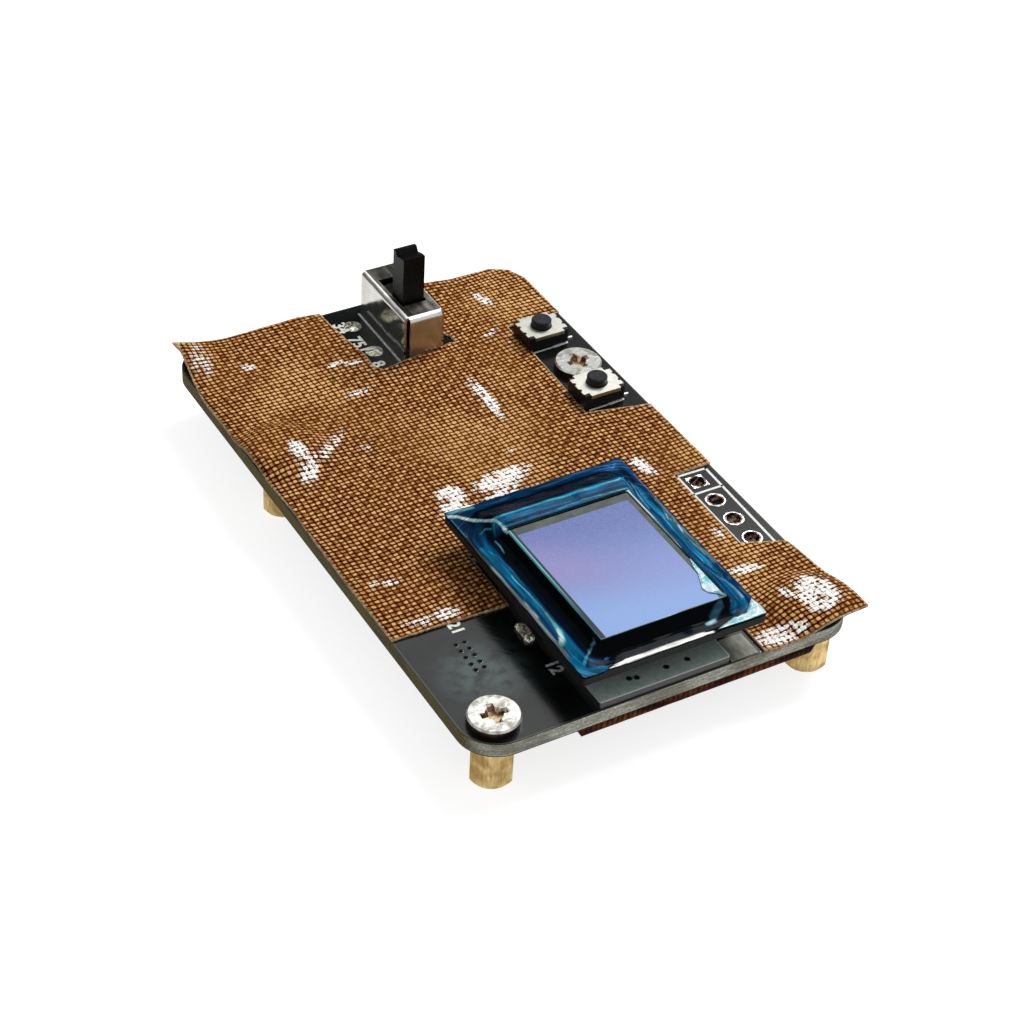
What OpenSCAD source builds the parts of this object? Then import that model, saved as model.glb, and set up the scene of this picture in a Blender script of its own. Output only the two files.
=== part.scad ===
// Small display board on four hex stand-offs, with a micro display under a protective film,
// a slide switch, two push buttons, a header and woven tape. Origin: centre of the four feet,
// on the surface that they stand on. X across, Y towards the slide switch, Z up.

/* [Board] */
// Width of the board
board_w = 32; // [28:0.2:40]
// Length of the board
board_l = 52; // [44:0.2:64]
// Thickness of the board
board_t = 1.2; // [0.8:0.1:2]
// Corner radius of the board
board_corner_r = 3; // [1:0.1:4]

/* [Stand-offs and screws] */
// Distance of each screw from the nearer long edge
hole_inset_side = 2.6; // [2.4:0.1:3.5]
// Distance of the front screws from the front edge
hole_inset_front = 2.5; // [2.4:0.1:3.5]
// Distance of the rear screws from the rear edge
hole_inset_rear = 15.9; // [15:0.1:18]
// Stand-off size across its flats
standoff_af = 3; // [2.8:0.1:3.6]
// Stand-off length
standoff_h = 4; // [3:0.5:8]
// Screw thread size
screw_d = 2; // [1.6:0.1:2.4]
// Pitch of the thread
screw_pitch = 0.4; // [0.35:0.05:0.45]
// Screw length under the head
screw_len = 3; // [2.6:0.1:3.6]
// Screw head diameter
head_d = 3.9; // [3.5:0.1:4.4]
// Screw head height
head_h = 0.7; // [0.6:0.05:1]
// Clearance of the screws in the board, all round
screw_clear = 0.1; // [0.05:0.05:0.2]

/* [Header] */
// Pitch of the header's holes
header_pitch = 2.54; // [2:0.01:3]
// Number of header holes
header_n = 4; // [2:1:4]
// Bore of a plated header hole
header_bore_d = 1.14; // [0.9:0.02:1.2]
// Diameter of a header pad
header_pad_d = 1.6; // [1.5:0.05:1.9]
// Distance of the header row from the right edge
header_inset = 2.1; // [1.8:0.1:2.6]
// Distance of the front header hole from the front edge
header_front_y = 11.12; // [10:0.02:13]

/* [Display] */
// Width of the cover glass
glass_w = 10.3; // [8.6:0.1:12.4]
// Length of the cover glass
glass_l = 13.25; // [11:0.05:16]
// Thickness of the cover glass, and of the die below it
glass_t = 0.5; // [0.3:0.05:0.7]
// Bond ledge of the die behind the glass
ledge_l = 1.4; // [1:0.1:1.8]
// Carrier board beyond the glass, on each side
carrier_side = 2.5; // [2.2:0.1:3]
// Carrier board beyond the glass, at the front
carrier_front = 2.1; // [1.8:0.1:3]
// Carrier board beyond the bond ledge, at the rear
carrier_rear = 3.35; // [3:0.05:4]
// Thickness of the carrier board
carrier_t = 0.6; // [0.4:0.05:0.8]
// Distance of the carrier from the board's front edge
carrier_inset = 0.5; // [0.2:0.1:2]
// Free height between the adapter board and the carrier
mate_h = 1.8; // [1.5:0.05:2.4]
// Thickness of the protective film
film_t = 0.1; // [0.06:0.01:0.15]
// Width of the adapter board
adapter_w = 10.9; // [10.2:0.1:12]
// Length of the adapter board
adapter_l = 14.5; // [12:0.1:17]
// Thickness of the adapter board
adapter_t = 0.6; // [0.4:0.05:0.8]

/* [Slide switch] */
// Width of the can
can_w = 3.7; // [3.3:0.1:4.4]
// Length of the can
can_l = 8.5; // [7.8:0.1:10.2]
// Height of the can
can_h = 3.8; // [3.4:0.1:4.6]
// Sheet thickness of the can
can_sheet = 0.25; // [0.2:0.01:0.3]
// Travel of the knob
switch_travel = 2; // [1.6:0.1:2.4]
// Width of the knob across the slot
knob_w = 1.95; // [1.6:0.05:2.1]
// Length of the knob along the slot
knob_l = 1.8; // [1.5:0.05:2.1]
// Height of the knob above the can
knob_h = 4.3; // [3:0.1:6]
// Distance of the switch's centre from the right edge
switch_from_right = 13.05; // [12:0.05:16]
// Distance of the switch's centre from the rear edge
switch_from_rear = 4.6; // [4.4:0.1:5.2]

/* [Push buttons] */
// Width of the cover plate
cover_w = 3.75; // [3.4:0.05:4.5]
// Length of the cover plate
cover_l = 3.05; // [2.8:0.05:3.7]
// Height of the cover plate's top
cover_h = 1.42; // [1.3:0.02:1.7]
// Diameter of the plunger
plunger_d = 1.68; // [1.4:0.02:1.8]
// Height of the plunger above the cover plate
plunger_out = 0.66; // [0.4:0.02:1.2]
// Travel of the plunger
plunger_travel = 0.25; // [0.15:0.01:0.3]
// Distance of the button centres from the right edge
button_inset = 3.35; // [3.1:0.05:3.8]
// Distance of the rear button behind the rear screw, and of the front button before it
button_rear_gap = 4.85; // [4.4:0.05:5.4]
button_front_gap = 4.1; // [4:0.05:4.6]

/* [Tape] */
// Thickness of the woven tape
tape_t = 0.2; // [0.1:0.02:0.3]
// Length of the bare strip in front of the tape
tape_bare_l = 12.6; // [11.5:0.1:14]
// How far the tape's loose front corner stands over the board's edges
tape_overhang = 0.7; // [0:0.1:1]
// Depth of the lower tape below the board
under_tape_h = 0.8; // [0.7:0.05:1.2]

/* [Hidden] */
$fn = 48;

// Clearance of a sliding or loosely fitted piece, and of a close fit
slip = 0.1;
fit = 0.02;

// Board edges and heights
x_right = board_w / 2;
x_left = -x_right;
screw_hole_d = screw_d + 2 * screw_clear;
tap_d = screw_d - screw_pitch;
pitch_x = board_w - 2 * hole_inset_side;
pitch_y = board_l - hole_inset_front - hole_inset_rear;
y_front = -pitch_y / 2 - hole_inset_front;
y_rear = y_front + board_l;
z_bottom = standoff_h;
z_top = standoff_h + board_t;

// Where the pieces stand on the board
header_x = x_right - header_inset;
header_y = y_front + header_front_y;
switch_x = x_right - switch_from_right;
switch_y = y_rear - switch_from_rear;
button_x = x_right - button_inset;
button_rear_y = pitch_y / 2 + button_rear_gap;
button_front_y = pitch_y / 2 - button_front_gap;

// Display stack, from the board up
carrier_w = glass_w + 2 * carrier_side;
carrier_l = carrier_front + glass_l + ledge_l + carrier_rear;
carrier_y = y_front + carrier_inset + carrier_l / 2;
adapter_x = -0.9;
adapter_left = adapter_x - adapter_w / 2;
adapter_right = adapter_x + adapter_w / 2;
adapter_y = y_front + 0.1 + adapter_l / 2;
z_adapter = z_top + adapter_t;
z_carrier = z_adapter + mate_h;
z_carrier_top = z_carrier + carrier_t;
glass_x = 0.15;
glass_y = y_front + carrier_inset + carrier_front + glass_l / 2;
z_die_top = z_carrier_top + glass_t;
z_glass_top = z_die_top + glass_t;
film_margin = 0.3;
film_flange = 0.8;
film_hold = 0.25;
die_rear = glass_y + glass_l / 2 + ledge_l;

// Board-to-board connector
socket_w = 8.6;
socket_l = 3.2;
socket_h = 0.7 * mate_h;
socket_wall = 0.45;
socket_floor = 0.25;
plug_rim = 0.3;
plug_base_t = mate_h - socket_h;
contact_n = 10;
contact_pitch = 0.7;

// Slide switch
slot_play = 0.25;
slot_w = knob_w + 0.3;
slot_l = knob_l + switch_travel + 2 * slot_play;
corner_slit = 0.14;
fold_r = 0.4;
switch_base_t = 0.9;
slider_w = can_w - 2 * can_sheet - 0.3;
slider_l = can_l - 2 * can_sheet - switch_travel - 0.4;
slider_y = switch_y - switch_travel / 2;
z_slider = z_top + switch_base_t + slip;
z_slider_top = z_top + can_h - can_sheet - slip;
clip_w = 1.1;
clip_room_w = 1.6;
clip_room_h = 0.85;
clip_t = 0.12;
contact_t = 0.12;
terminal_pitch = 2.5;
terminal_w = 0.5;
terminal_t = 0.4;
contact_pad_l = 0.95;
pin_out = 0.8;
pin_d = norm([terminal_w, terminal_t]) + 2 * fit;
pin_hole_d = pin_d + 0.22;
crimp_w = 0.9;
crimp_l = 0.45;
crimp_pitch = 4.4;

// Push buttons
cover_t = 0.12;
cover_lip = 0.32;
cover_notch = 0.5;
cover_notch_l = 0.42;
stake_d = 0.36;
stake_pitch = 0.96;
lead_t = 0.12;
lead_w = 0.55;
lead_reach = 0.15;
lead_gauge = 1.7;
body_w = cover_w - 0.1;
body_l = cover_l - 2 * cover_t - 2 * fit;
well_r = body_l / 2 - 0.18;
well_floor = 0.4;
dome_r = well_r - 0.1;
dome_t = 0.06;
dome_rise = plunger_travel + 0.15;
plunger_h = cover_h + plunger_out;
flange_t = 0.22;
plunger_gap = 0.06;

// Wire pads beside the slide switch
wire_pad_d = 1.5;
wire_hole_d = 0.9;
wire_x = switch_x - can_w / 2 - 1.75;
wire_pitch = 4;

// Header plating
plate_t = 0.05;

// Tape outline
display_cut_left = adapter_left - 0.15;
display_cut_right = carrier_w / 2 - 0.15;
display_cut_rear = y_front + adapter_l + 4.2;
header_cut = header_pad_d / 2 + 0.5;
header_rear_y = header_y + (header_n - 1) * header_pitch;
button_cut = cover_w / 2 + lead_reach + 0.06;
switch_cut = 0.6;
under_tape_t = 0.15;
under_tape_left = x_left + 8.1;
under_tape_right = x_right - 3.7;
under_tape_front = y_front + 0.3;
under_tape_rear = pitch_y / 2 + 5;
under_x = (under_tape_left + under_tape_right) / 2;
chip_h = under_tape_h - under_tape_t - 0.05;

// A plate with round corners, its lower face at z = 0
module round_plate(w, l, r, t) {
    linear_extrude(t) {
        square([w - 2 * r, l], center = true);
        square([w, l - 2 * r], center = true);
        for (sx = [-1, 1], sy = [-1, 1])
            translate([sx * (w / 2 - r), sy * (l / 2 - r)])
                circle(r);
    }
}

// A block centred on x and y, its lower face at z = 0
module block(w, l, h) {
    translate([-w / 2, -l / 2, 0])
        cube([w, l, h]);
}

// The places of the header's holes, from the front one back
module at_header() {
    for (i = [0:header_n - 1])
        translate([header_x, header_y + i * header_pitch, 0])
            children();
}

// The places of the wire pads
module at_wire_pads() {
    for (s = [-1, 1])
        translate([wire_x, switch_y + s * wire_pitch / 2, 0])
            children();
}

module main_board() {
    color("#1c2123")
    difference() {
        translate([0, y_front + board_l / 2, z_bottom])
            round_plate(board_w, board_l, board_corner_r, board_t);
        for (sx = [-1, 1], sy = [-1, 1])
            translate([sx * pitch_x / 2, sy * pitch_y / 2, z_bottom - 1])
                cylinder(d = screw_hole_d, h = board_t + 2);
        at_header()
            translate([0, 0, z_bottom - 1])
                cylinder(d = header_bore_d + 2 * plate_t + 2 * fit, h = board_t + 2);
        at_wire_pads()
            translate([0, 0, z_bottom - 1])
                cylinder(d = wire_hole_d, h = board_t + 2);
        for (i = [-1:1])
            translate([switch_x, switch_y + i * terminal_pitch, z_bottom - 1])
                cylinder(d = pin_hole_d, h = board_t + 2);
    }
}

// A hex stand-off with turned ends: the screw's thread fills the top, and the foot's thread is free
module standoff(sx, sy) {
    chamfer = 0.35;
    r_hex = standoff_af / 2 / cos(30);
    r_face = standoff_af / 2 - 0.05;
    thread_depth = screw_len - board_t + slip;
    color("#b8934a")
    translate([sx * pitch_x / 2, sy * pitch_y / 2, 0])
    difference() {
        intersection() {
            linear_extrude(standoff_h)
                circle(r_hex, $fn = 6);
            rotate_extrude()
                polygon([
                    [0, 0], [r_face, 0], [r_hex + 0.01, chamfer],
                    [r_hex + 0.01, standoff_h - chamfer], [r_face, standoff_h], [0, standoff_h]
                ]);
        }
        translate([0, 0, -1])
            cylinder(d = tap_d, h = standoff_h + 2);
        translate([0, 0, standoff_h - thread_depth])
            cylinder(d = screw_d + 2 * fit, h = thread_depth + 1);
        translate([0, 0, -0.01])
            cylinder(d1 = screw_d + 0.1, d2 = tap_d - 0.02, h = screw_pitch * 0.7);
    }
}

// A flat-head screw with a tapered cross recess
module screw(sx, sy) {
    recess_depth = head_h * 0.75;
    recess_w = 0.52;
    recess_l = 2.1;
    turn = sx * 6 - 1;
    edge = 0.12;
    color("#c9c8c4")
    translate([sx * pitch_x / 2, sy * pitch_y / 2, z_top])
    difference() {
        rotate_extrude()
            polygon([
                [0, -screw_len], [screw_d / 2 - 0.2, -screw_len], [screw_d / 2, -screw_len + 0.2],
                [screw_d / 2, 0], [head_d / 2, 0], [head_d / 2, head_h - edge],
                [head_d / 2 - edge, head_h], [0, head_h]
            ]);
        for (a = [0, 90])
            rotate([0, 0, a + turn])
                rotate([90, 0, 0])
                    linear_extrude(recess_w, center = true)
                        polygon([
                            [-recess_l / 2, head_h + 0.1], [-recess_l / 2 + 0.3, head_h - recess_depth],
                            [recess_l / 2 - 0.3, head_h - recess_depth], [recess_l / 2, head_h + 0.1]
                        ]);
        translate([0, 0, head_h - recess_depth])
            cylinder(r1 = 0.42, r2 = 0.68, h = recess_depth + 0.02);
    }
}

// The outline of the upper tape, with its cut-outs for the display, header, buttons and switch
function tape_outline() = [
    [x_left, y_front + tape_bare_l],
    [display_cut_left, y_front + tape_bare_l - 0.2],
    [display_cut_left, display_cut_rear],
    [display_cut_right, display_cut_rear],
    [display_cut_right, y_front - 0.2],
    [x_right + tape_overhang, y_front + 0.4],
    [x_right + 0.1, header_y - header_cut - 0.7],
    [header_x - header_cut, header_y - header_cut + 0.7],
    [header_x - header_cut, header_rear_y + header_cut],
    [x_right, header_rear_y + header_cut + 0.1],
    [x_right, button_front_y - 3],
    [button_x - button_cut, button_front_y - 1.8],
    [button_x - button_cut, button_rear_y + 2.4],
    [x_right, button_rear_y + 2.4],
    [x_right, y_rear - board_corner_r],
    [x_right - board_corner_r * 0.3, y_rear - board_corner_r * 0.3],
    [x_right - board_corner_r, y_rear],
    [switch_x + can_w / 2 + switch_cut, y_rear - 0.1],
    [switch_x + can_w / 2 + switch_cut, switch_y - can_l / 2 + 0.1],
    [switch_x - can_w / 2 - 2.3, switch_y - can_l / 2 - 0.6],
    [switch_x - can_w / 2 - 2.9, switch_y - can_l / 2 + 0.3],
    [switch_x - can_w / 2 - 3.5, y_rear - 0.1],
    [x_left + 0.3, y_rear + 0.3],
    [x_left, y_rear - 6]
];

// A tent of tape over a screw head, leaning on the board all round
module tape_bump(edge_r) {
    crown = head_h + fit;
    rotate_extrude()
        polygon([
            [0, crown], [head_d / 2 + 0.1, crown], [edge_r - 0.3, 0], [edge_r, 0], [edge_r, tape_t],
            [edge_r - 0.2, tape_t], [head_d / 2 + 0.2, crown + tape_t], [0, crown + tape_t]
        ]);
}

module top_tape() {
    bump_r = head_d / 2 + 1.2;
    bumps = [[pitch_x / 2, -pitch_y / 2], [-pitch_x / 2, pitch_y / 2]];
    color("#8a5a22")
    translate([0, 0, z_top])
    intersection() {
        linear_extrude(head_h + 1)
            polygon(tape_outline());
        union() {
            difference() {
                translate([0, y_front + board_l / 2, 0])
                    block(board_w + 4, board_l + 4, tape_t);
                for (p = bumps)
                    translate([p[0], p[1], -1])
                        cylinder(r = bump_r - 0.15, h = 3);
            }
            for (p = bumps)
                translate([p[0], p[1], 0])
                    tape_bump(bump_r);
        }
    }
}

// The lower tape: a shallow tray over the chips, cut round the stand-offs on the right
module bottom_tape() {
    w = under_tape_right - under_tape_left;
    l = under_tape_rear - under_tape_front;
    color("#7a4a1c")
    difference() {
        translate([under_tape_left, under_tape_front, z_bottom - under_tape_h])
            cube([w, l, under_tape_h]);
        difference() {
            translate([
                under_tape_left + under_tape_t, under_tape_front + under_tape_t,
                z_bottom - under_tape_h + under_tape_t
            ])
                cube([w - 2 * under_tape_t, l - 2 * under_tape_t, under_tape_h]);
            for (s = [-1, 1])
                translate([pitch_x / 2, s * pitch_y / 2, 0])
                    cylinder(r = standoff_af / 2 + 0.55 + under_tape_t, h = z_bottom + 1);
        }
        for (s = [-1, 1])
            translate([pitch_x / 2, s * pitch_y / 2, 0])
                cylinder(r = standoff_af / 2 + 0.55, h = z_bottom + 1);
    }
}

module display_adapter() {
    color("#3a4242")
    translate([adapter_x, adapter_y, z_top])
    round_plate(adapter_w, adapter_l, 0.2, adapter_t);
}

// The socket: an open tray with a tongue along its middle, which the plug's rim drops round
module display_socket() {
    color("#d8c9a8")
    translate([0, carrier_y, z_adapter])
    difference() {
        block(socket_w, socket_l, socket_h);
        difference() {
            translate([0, 0, socket_floor])
                block(socket_w - 2 * socket_wall, socket_l - 2 * socket_wall, socket_h);
            translate([0, 0, 0])
                block(socket_w - 2 * socket_wall - 1.6, 0.7, socket_h - 0.15);
        }
    }
}

// The socket's contacts: a tail on the adapter at each side, face to face with the wall
module socket_contacts() {
    color("#c8a24a")
    translate([0, carrier_y, z_adapter])
    for (s = [-1, 1], i = [0:contact_n - 1])
        translate([(i - (contact_n - 1) / 2) * contact_pitch, s * (socket_l / 2 + 0.2), 0]) {
            block(0.28, 0.4, 0.12);
            translate([0, -s * 0.15, 0])
                block(0.28, 0.1, 0.5);
        }
}

// The plug: a base on the carrier with a rim that reaches down into the socket
module display_plug() {
    rim_w = socket_w - 2 * socket_wall - 2 * slip;
    rim_l = socket_l - 2 * socket_wall - 2 * slip;
    rim_h = socket_h - socket_floor - slip;
    color("#22262a")
    translate([0, carrier_y, z_carrier])
    union() {
        translate([0, 0, -plug_base_t])
            block(socket_w - 0.3, socket_l - 0.3, plug_base_t);
        translate([0, 0, -plug_base_t - rim_h])
            difference() {
                block(rim_w, rim_l, rim_h + 0.01);
                translate([0, 0, -1])
                    block(rim_w - 2 * plug_rim, rim_l - 2 * plug_rim, rim_h + 1);
            }
    }
}

module display_carrier() {
    color("#181b1d")
    translate([0, carrier_y, z_carrier])
    round_plate(carrier_w, carrier_l, 0.3, carrier_t);
}

module display_die() {
    color("#6a7370")
    translate([glass_x, glass_y + ledge_l / 2, z_carrier_top])
    block(glass_w, glass_l + ledge_l, glass_t);
}

// Black epoxy over the bond wires: it laps the die's ledge and runs down to the carrier
module bond_bead() {
    y_ledge = die_rear - ledge_l + 0.15;
    color("#0c0d10")
    translate([glass_x, 0, 0])
    rotate([90, 0, 90])
    linear_extrude(glass_w - 0.8, center = true)
        polygon([
            [y_ledge, z_die_top], [y_ledge + 0.25, z_die_top + 0.15],
            [die_rear - 0.35, z_die_top + 0.12], [die_rear + 0.35, z_die_top - 0.1],
            [die_rear + 0.9, z_carrier_top], [die_rear, z_carrier_top], [die_rear, z_die_top]
        ]);
}

module cover_glass() {
    color("#8f8fd0")
    translate([glass_x, glass_y, z_die_top])
    block(glass_w, glass_l, glass_t);
}

// One wall-less tent: a flat top a little larger than the glass, down to the carrier's margin
module film_tent(grow, drop) {
    low_w = carrier_w - 2 * film_flange + 2 * grow;
    low_l = carrier_l - 2 * film_flange + 2 * grow;
    hull() {
        translate([0, carrier_y, z_carrier_top - drop])
            block(low_w, low_l, 0.01);
        translate([glass_x, glass_y, z_glass_top + fit])
            block(glass_w + 2 * (film_margin + grow), glass_l + 2 * (film_margin + grow), grow + 0.001);
    }
}

// The film drapes from the glass to the carrier's edge, and a window in it leaves the glass clear
module protective_film() {
    color("#1f6f9e")
    difference() {
        union() {
            film_tent(film_t, 0);
            translate([0, carrier_y, z_carrier_top])
                block(carrier_w - 0.1, carrier_l - 0.1, film_t);
        }
        film_tent(0, 0.01);
        translate([glass_x, glass_y, z_glass_top - 0.1])
            block(glass_w - 2 * film_hold, glass_l - 2 * film_hold, 1);
    }
}

module switch_base() {
    color("#141414")
    translate([switch_x, switch_y, z_top])
    difference() {
        block(can_w - 2 * can_sheet - 2 * fit, can_l - 2 * can_sheet - 2 * fit, switch_base_t);
        for (i = [-1:1])
            translate([0, i * terminal_pitch, -1])
                block(terminal_w + 2 * fit, terminal_t + 2 * fit, 3);
        at_crimps()
            translate([0, 0, -1])
                block(crimp_l + can_sheet + 2 * fit, crimp_w + 2 * fit, can_sheet + fit + 1);
    }
}

// The end view of a folded channel: upright sides and a flat top with round folds
module channel_end(w, h, r) {
    translate([-w / 2, 0])
        square([w, h - r]);
    translate([-w / 2 + r, 0])
        square([w - 2 * r, h]);
    for (s = [-1, 1])
        translate([s * (w / 2 - r), h - r])
            circle(r);
}

// A length of channel along Y
module channel(w, l, h) {
    rotate([90, 0, 0])
    linear_extrude(l, center = true)
    difference() {
        channel_end(w, h, fold_r);
        translate([0, -can_sheet])
            channel_end(w - 2 * can_sheet, h, fold_r - can_sheet);
    }
}

// The places of the four crimp tabs, at the foot of the can's long sides
module at_crimps() {
    for (sx = [-1, 1], sy = [-1, 1])
        translate([sx * (can_w / 2 - can_sheet - crimp_l / 2), sy * crimp_pitch / 2, 0])
            children();
}

// The can is folded from one sheet: four sides with open slits at the corners, a slot in the top,
// and four tabs crimped under the base
module switch_can() {
    notch = can_sheet + corner_slit;
    color("#b9b5ac")
    translate([switch_x, switch_y, z_top])
    difference() {
        union() {
            channel(can_w, can_l - 2 * notch, can_h);
            rotate([0, 0, 90])
                channel(can_l, can_w - 2 * notch, can_h);
            at_crimps()
                block(crimp_l + can_sheet, crimp_w, can_sheet);
        }
        translate([0, 0, can_h - 1])
            block(slot_w, slot_l, 2);
    }
}

// Three terminals: a pin through base and board, with a flat contact pad on the base
module switch_terminals() {
    color("#d2cfc6")
    translate([switch_x, switch_y, z_top])
    for (i = [-1:1])
        translate([0, i * terminal_pitch, 0]) {
            translate([0, 0, -board_t - pin_out])
                block(terminal_w, terminal_t, board_t + pin_out + switch_base_t);
            translate([0, 0, switch_base_t])
                block(contact_pad_l * 0.9, contact_pad_l, contact_t);
        }
}

// The knob and the slider below it are one moulding, with a channel for the contact clip
module switch_knob() {
    y0 = -knob_l / 2;
    y1 = knob_l / 2;
    z1 = z_top + can_h + knob_h;
    color("#101112")
    translate([switch_x, slider_y, 0])
    union() {
        difference() {
            translate([0, 0, z_slider])
                block(slider_w, slider_l, z_slider_top - z_slider);
            translate([0, 0, z_slider - 1])
                block(clip_room_w, slider_l + 1, clip_room_h + 1);
        }
        rotate([90, 0, 90])
            linear_extrude(knob_w, center = true)
                polygon([
                    [y0, z_slider_top - 0.5], [y1, z_slider_top - 0.5], [y1, z1 + 0.04],
                    [y1 - 0.35, z1 + 0.04], [y1 - 0.6, z1 - 0.38], [y0 + 0.55, z1 - 0.16], [y0, z1 - 0.1]
                ]);
    }
}

// A bent spring strip in the slider, with two feet that bridge neighbouring contact pads
module switch_clip() {
    foot = terminal_pitch / 2;
    z_foot = z_top + switch_base_t + contact_t + fit;
    z_roof = z_slider + clip_room_h;
    color("#cfa04a")
    translate([switch_x, slider_y, 0])
    rotate([90, 0, 90])
    linear_extrude(clip_w, center = true)
        polygon([
            [-foot - 0.3, z_foot + 0.3], [-foot, z_foot], [-foot + 0.25, z_foot],
            [-0.3, z_roof - clip_t], [0.3, z_roof - clip_t], [foot - 0.25, z_foot], [foot, z_foot],
            [foot + 0.3, z_foot + 0.3], [foot + 0.3, z_foot + 0.3 + clip_t],
            [foot - 0.1, z_foot + clip_t], [0.36, z_roof], [-0.36, z_roof],
            [-foot + 0.1, z_foot + clip_t], [-foot - 0.3, z_foot + 0.3 + clip_t]
        ]);
}

// Solder cones round the switch's pins, under the board
module switch_solder() {
    cone_h = 0.6;
    color("#c4c4c0")
    for (i = [-1:1])
        translate([switch_x, switch_y + i * terminal_pitch, z_bottom - cone_h])
            difference() {
                cylinder(r1 = pin_d / 2 + 0.12, r2 = 0.8, h = cone_h);
                translate([0, 0, -1])
                    cylinder(d = pin_d, h = cone_h + 2);
            }
}

// Moulded body: a round well for the dome and the plunger, and a post in each corner notch
module button_body(y) {
    z_plate = cover_h - cover_t;
    post_w = cover_notch - (cover_w - body_w) / 2 - 0.05;
    post_l = cover_notch_l - (cover_l - body_l) / 2 - 0.05;
    color("#121314")
    translate([button_x, y, z_top])
    difference() {
        union() {
            translate([0, 0, lead_t])
                block(body_w, body_l, z_plate - lead_t);
            for (sx = [-1, 1], sy = [-1, 1])
                translate([sx * (body_w - post_w) / 2, sy * (body_l - post_l) / 2, z_plate - 0.1])
                    block(post_w, post_l, cover_t + 0.05);
        }
        translate([0, 0, well_floor])
            cylinder(r = well_r, h = 3);
    }
}

module button_leads(y) {
    reach = cover_w / 2 + lead_reach;
    color("#cfcfca")
    translate([button_x, y, z_top])
    for (sx = [-1, 1], sy = [-1, 1])
        translate([sx * (reach + 0.7) / 2, sy * lead_gauge / 2, 0])
            block(reach - 0.7, lead_w, lead_t);
}

// A shallow snap dome: part of a spherical shell, its rim on the well's floor
module button_dome(y) {
    R = (dome_r * dome_r + dome_rise * dome_rise) / (2 * dome_rise);
    color("#d9b46a")
    translate([button_x, y, z_top + well_floor + dome_rise - R])
    intersection() {
        difference() {
            sphere(R + dome_t, $fn = 96);
            sphere(R, $fn = 96);
        }
        translate([0, 0, R - dome_rise])
            cylinder(r = dome_r + dome_t, h = 2 * dome_rise);
    }
}

// The plunger: a stem through the cover, a flange that the cover holds down, a nub on the dome
module button_plunger(y) {
    z_flange = cover_h - cover_t - flange_t - fit;
    z_dome = well_floor + dome_rise + dome_t + fit;
    color("#17181a")
    translate([button_x, y, z_top])
    rotate_extrude()
        polygon([
            [0, z_dome], [0.45, z_dome], [0.45, z_flange], [dome_r, z_flange],
            [dome_r, z_flange + flange_t], [plunger_d / 2, z_flange + flange_t],
            [plunger_d / 2, plunger_h - 0.1], [plunger_d / 2 - 0.1, plunger_h], [0, plunger_h]
        ]);
}

// Stamped cover: notched corners and sides, a hole for the plunger, and lips folded down front and rear
module button_cover(y) {
    color("#c8c7c0")
    translate([button_x, y, z_top])
    difference() {
        union() {
            translate([0, 0, cover_h - cover_t])
                block(cover_w, cover_l, cover_t);
            for (s = [-1, 1])
                translate([0, s * (cover_l - cover_t) / 2, cover_h - cover_lip])
                    block(cover_w - 2 * cover_notch, cover_t, cover_lip);
        }
        cylinder(d = plunger_d + 2 * plunger_gap, h = 5);
        for (sx = [-1, 1], sy = [-1, 1]) {
            translate([sx * cover_w / 2, sy * cover_l / 2, 0])
                block(2 * cover_notch, 2 * cover_notch_l, 5);
            translate([sx * cover_w / 2, sy * stake_pitch / 2, 0])
                cylinder(d = stake_d, h = 5);
        }
    }
}

// One plated hole: a barrel with a ring on each face, square on the first hole
module header_pad(square_pad) {
    barrel_r = header_bore_d / 2 + plate_t;
    difference() {
        union() {
            translate([0, 0, z_bottom - plate_t])
                cylinder(r = barrel_r, h = board_t + 2 * plate_t);
            for (z = [z_bottom - plate_t, z_top])
                translate([0, 0, z])
                    if (square_pad)
                        block(header_pad_d - 0.2, header_pad_d - 0.2, plate_t);
                    else
                        cylinder(d = header_pad_d, h = plate_t);
        }
        translate([0, 0, z_bottom - 1])
            cylinder(d = header_bore_d, h = board_t + 2);
    }
}

module header_pads() {
    color("#c9ccc8")
    for (i = [0:header_n - 1])
        translate([header_x, header_y + i * header_pitch, 0])
            header_pad(i == header_n - 1);
}

// Solder that fills each wire hole and stands as a low dome on both faces
module wire_pads() {
    dome_h = 0.18;
    R = (pow(wire_pad_d / 2, 2) + dome_h * dome_h) / (2 * dome_h);
    color("#b9bba8")
    at_wire_pads()
    union() {
        translate([0, 0, z_bottom])
            cylinder(d = wire_hole_d - 2 * fit, h = board_t);
        for (side = [0, 1])
            translate([0, 0, side == 0 ? z_bottom : z_top])
                mirror([0, 0, 1 - side])
                    intersection() {
                        translate([0, 0, dome_h - R])
                            sphere(R);
                        cylinder(d = wire_pad_d, h = 1);
                    }
    }
}

module ground_pad() {
    color("#8d8b80")
    translate([adapter_right + 1.27, y_front + 1.25, z_top])
    block(2.3, 2.3, plate_t);
}

module chip_capacitor() {
    color("#b9b096")
    translate([adapter_left - 0.7, y_front + 9.3, z_top])
    block(0.55, 1, 0.5);
}

// A chip under the board: its top face against the board, w across x, l along y
module under_chip(x, y, w, l, h) {
    translate([x, y, z_bottom - h])
        block(w, l, h);
}

module driver_chip() {
    color("#202224")
    under_chip(under_x, y_front + 5.2, 7, 7, chip_h);
}

module memory_chip() {
    color("#242628")
    under_chip(under_x - 3.5, y_front + 15, 6, 5, chip_h);
}

module regulator_chip() {
    color("#1f2123")
    under_chip(under_x + 4.5, y_front + 15, 3, 3, chip_h - 0.05);
}

module crystal() {
    color("#c6c6c2")
    under_chip(under_x, y_front + 20.5, 3.2, 2.5, chip_h);
}

module coil() {
    color("#3b3b3d")
    under_chip(under_x + 4.5, y_front + 20.5, 2.5, 2, chip_h);
}

module capacitors() {
    color("#b59a72")
    for (i = [0:3], s = [-1, 1])
        under_chip(under_x + s * 5.2, y_front + 2 + i * 1.6, 0.5, 1, 0.5);
}

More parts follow.
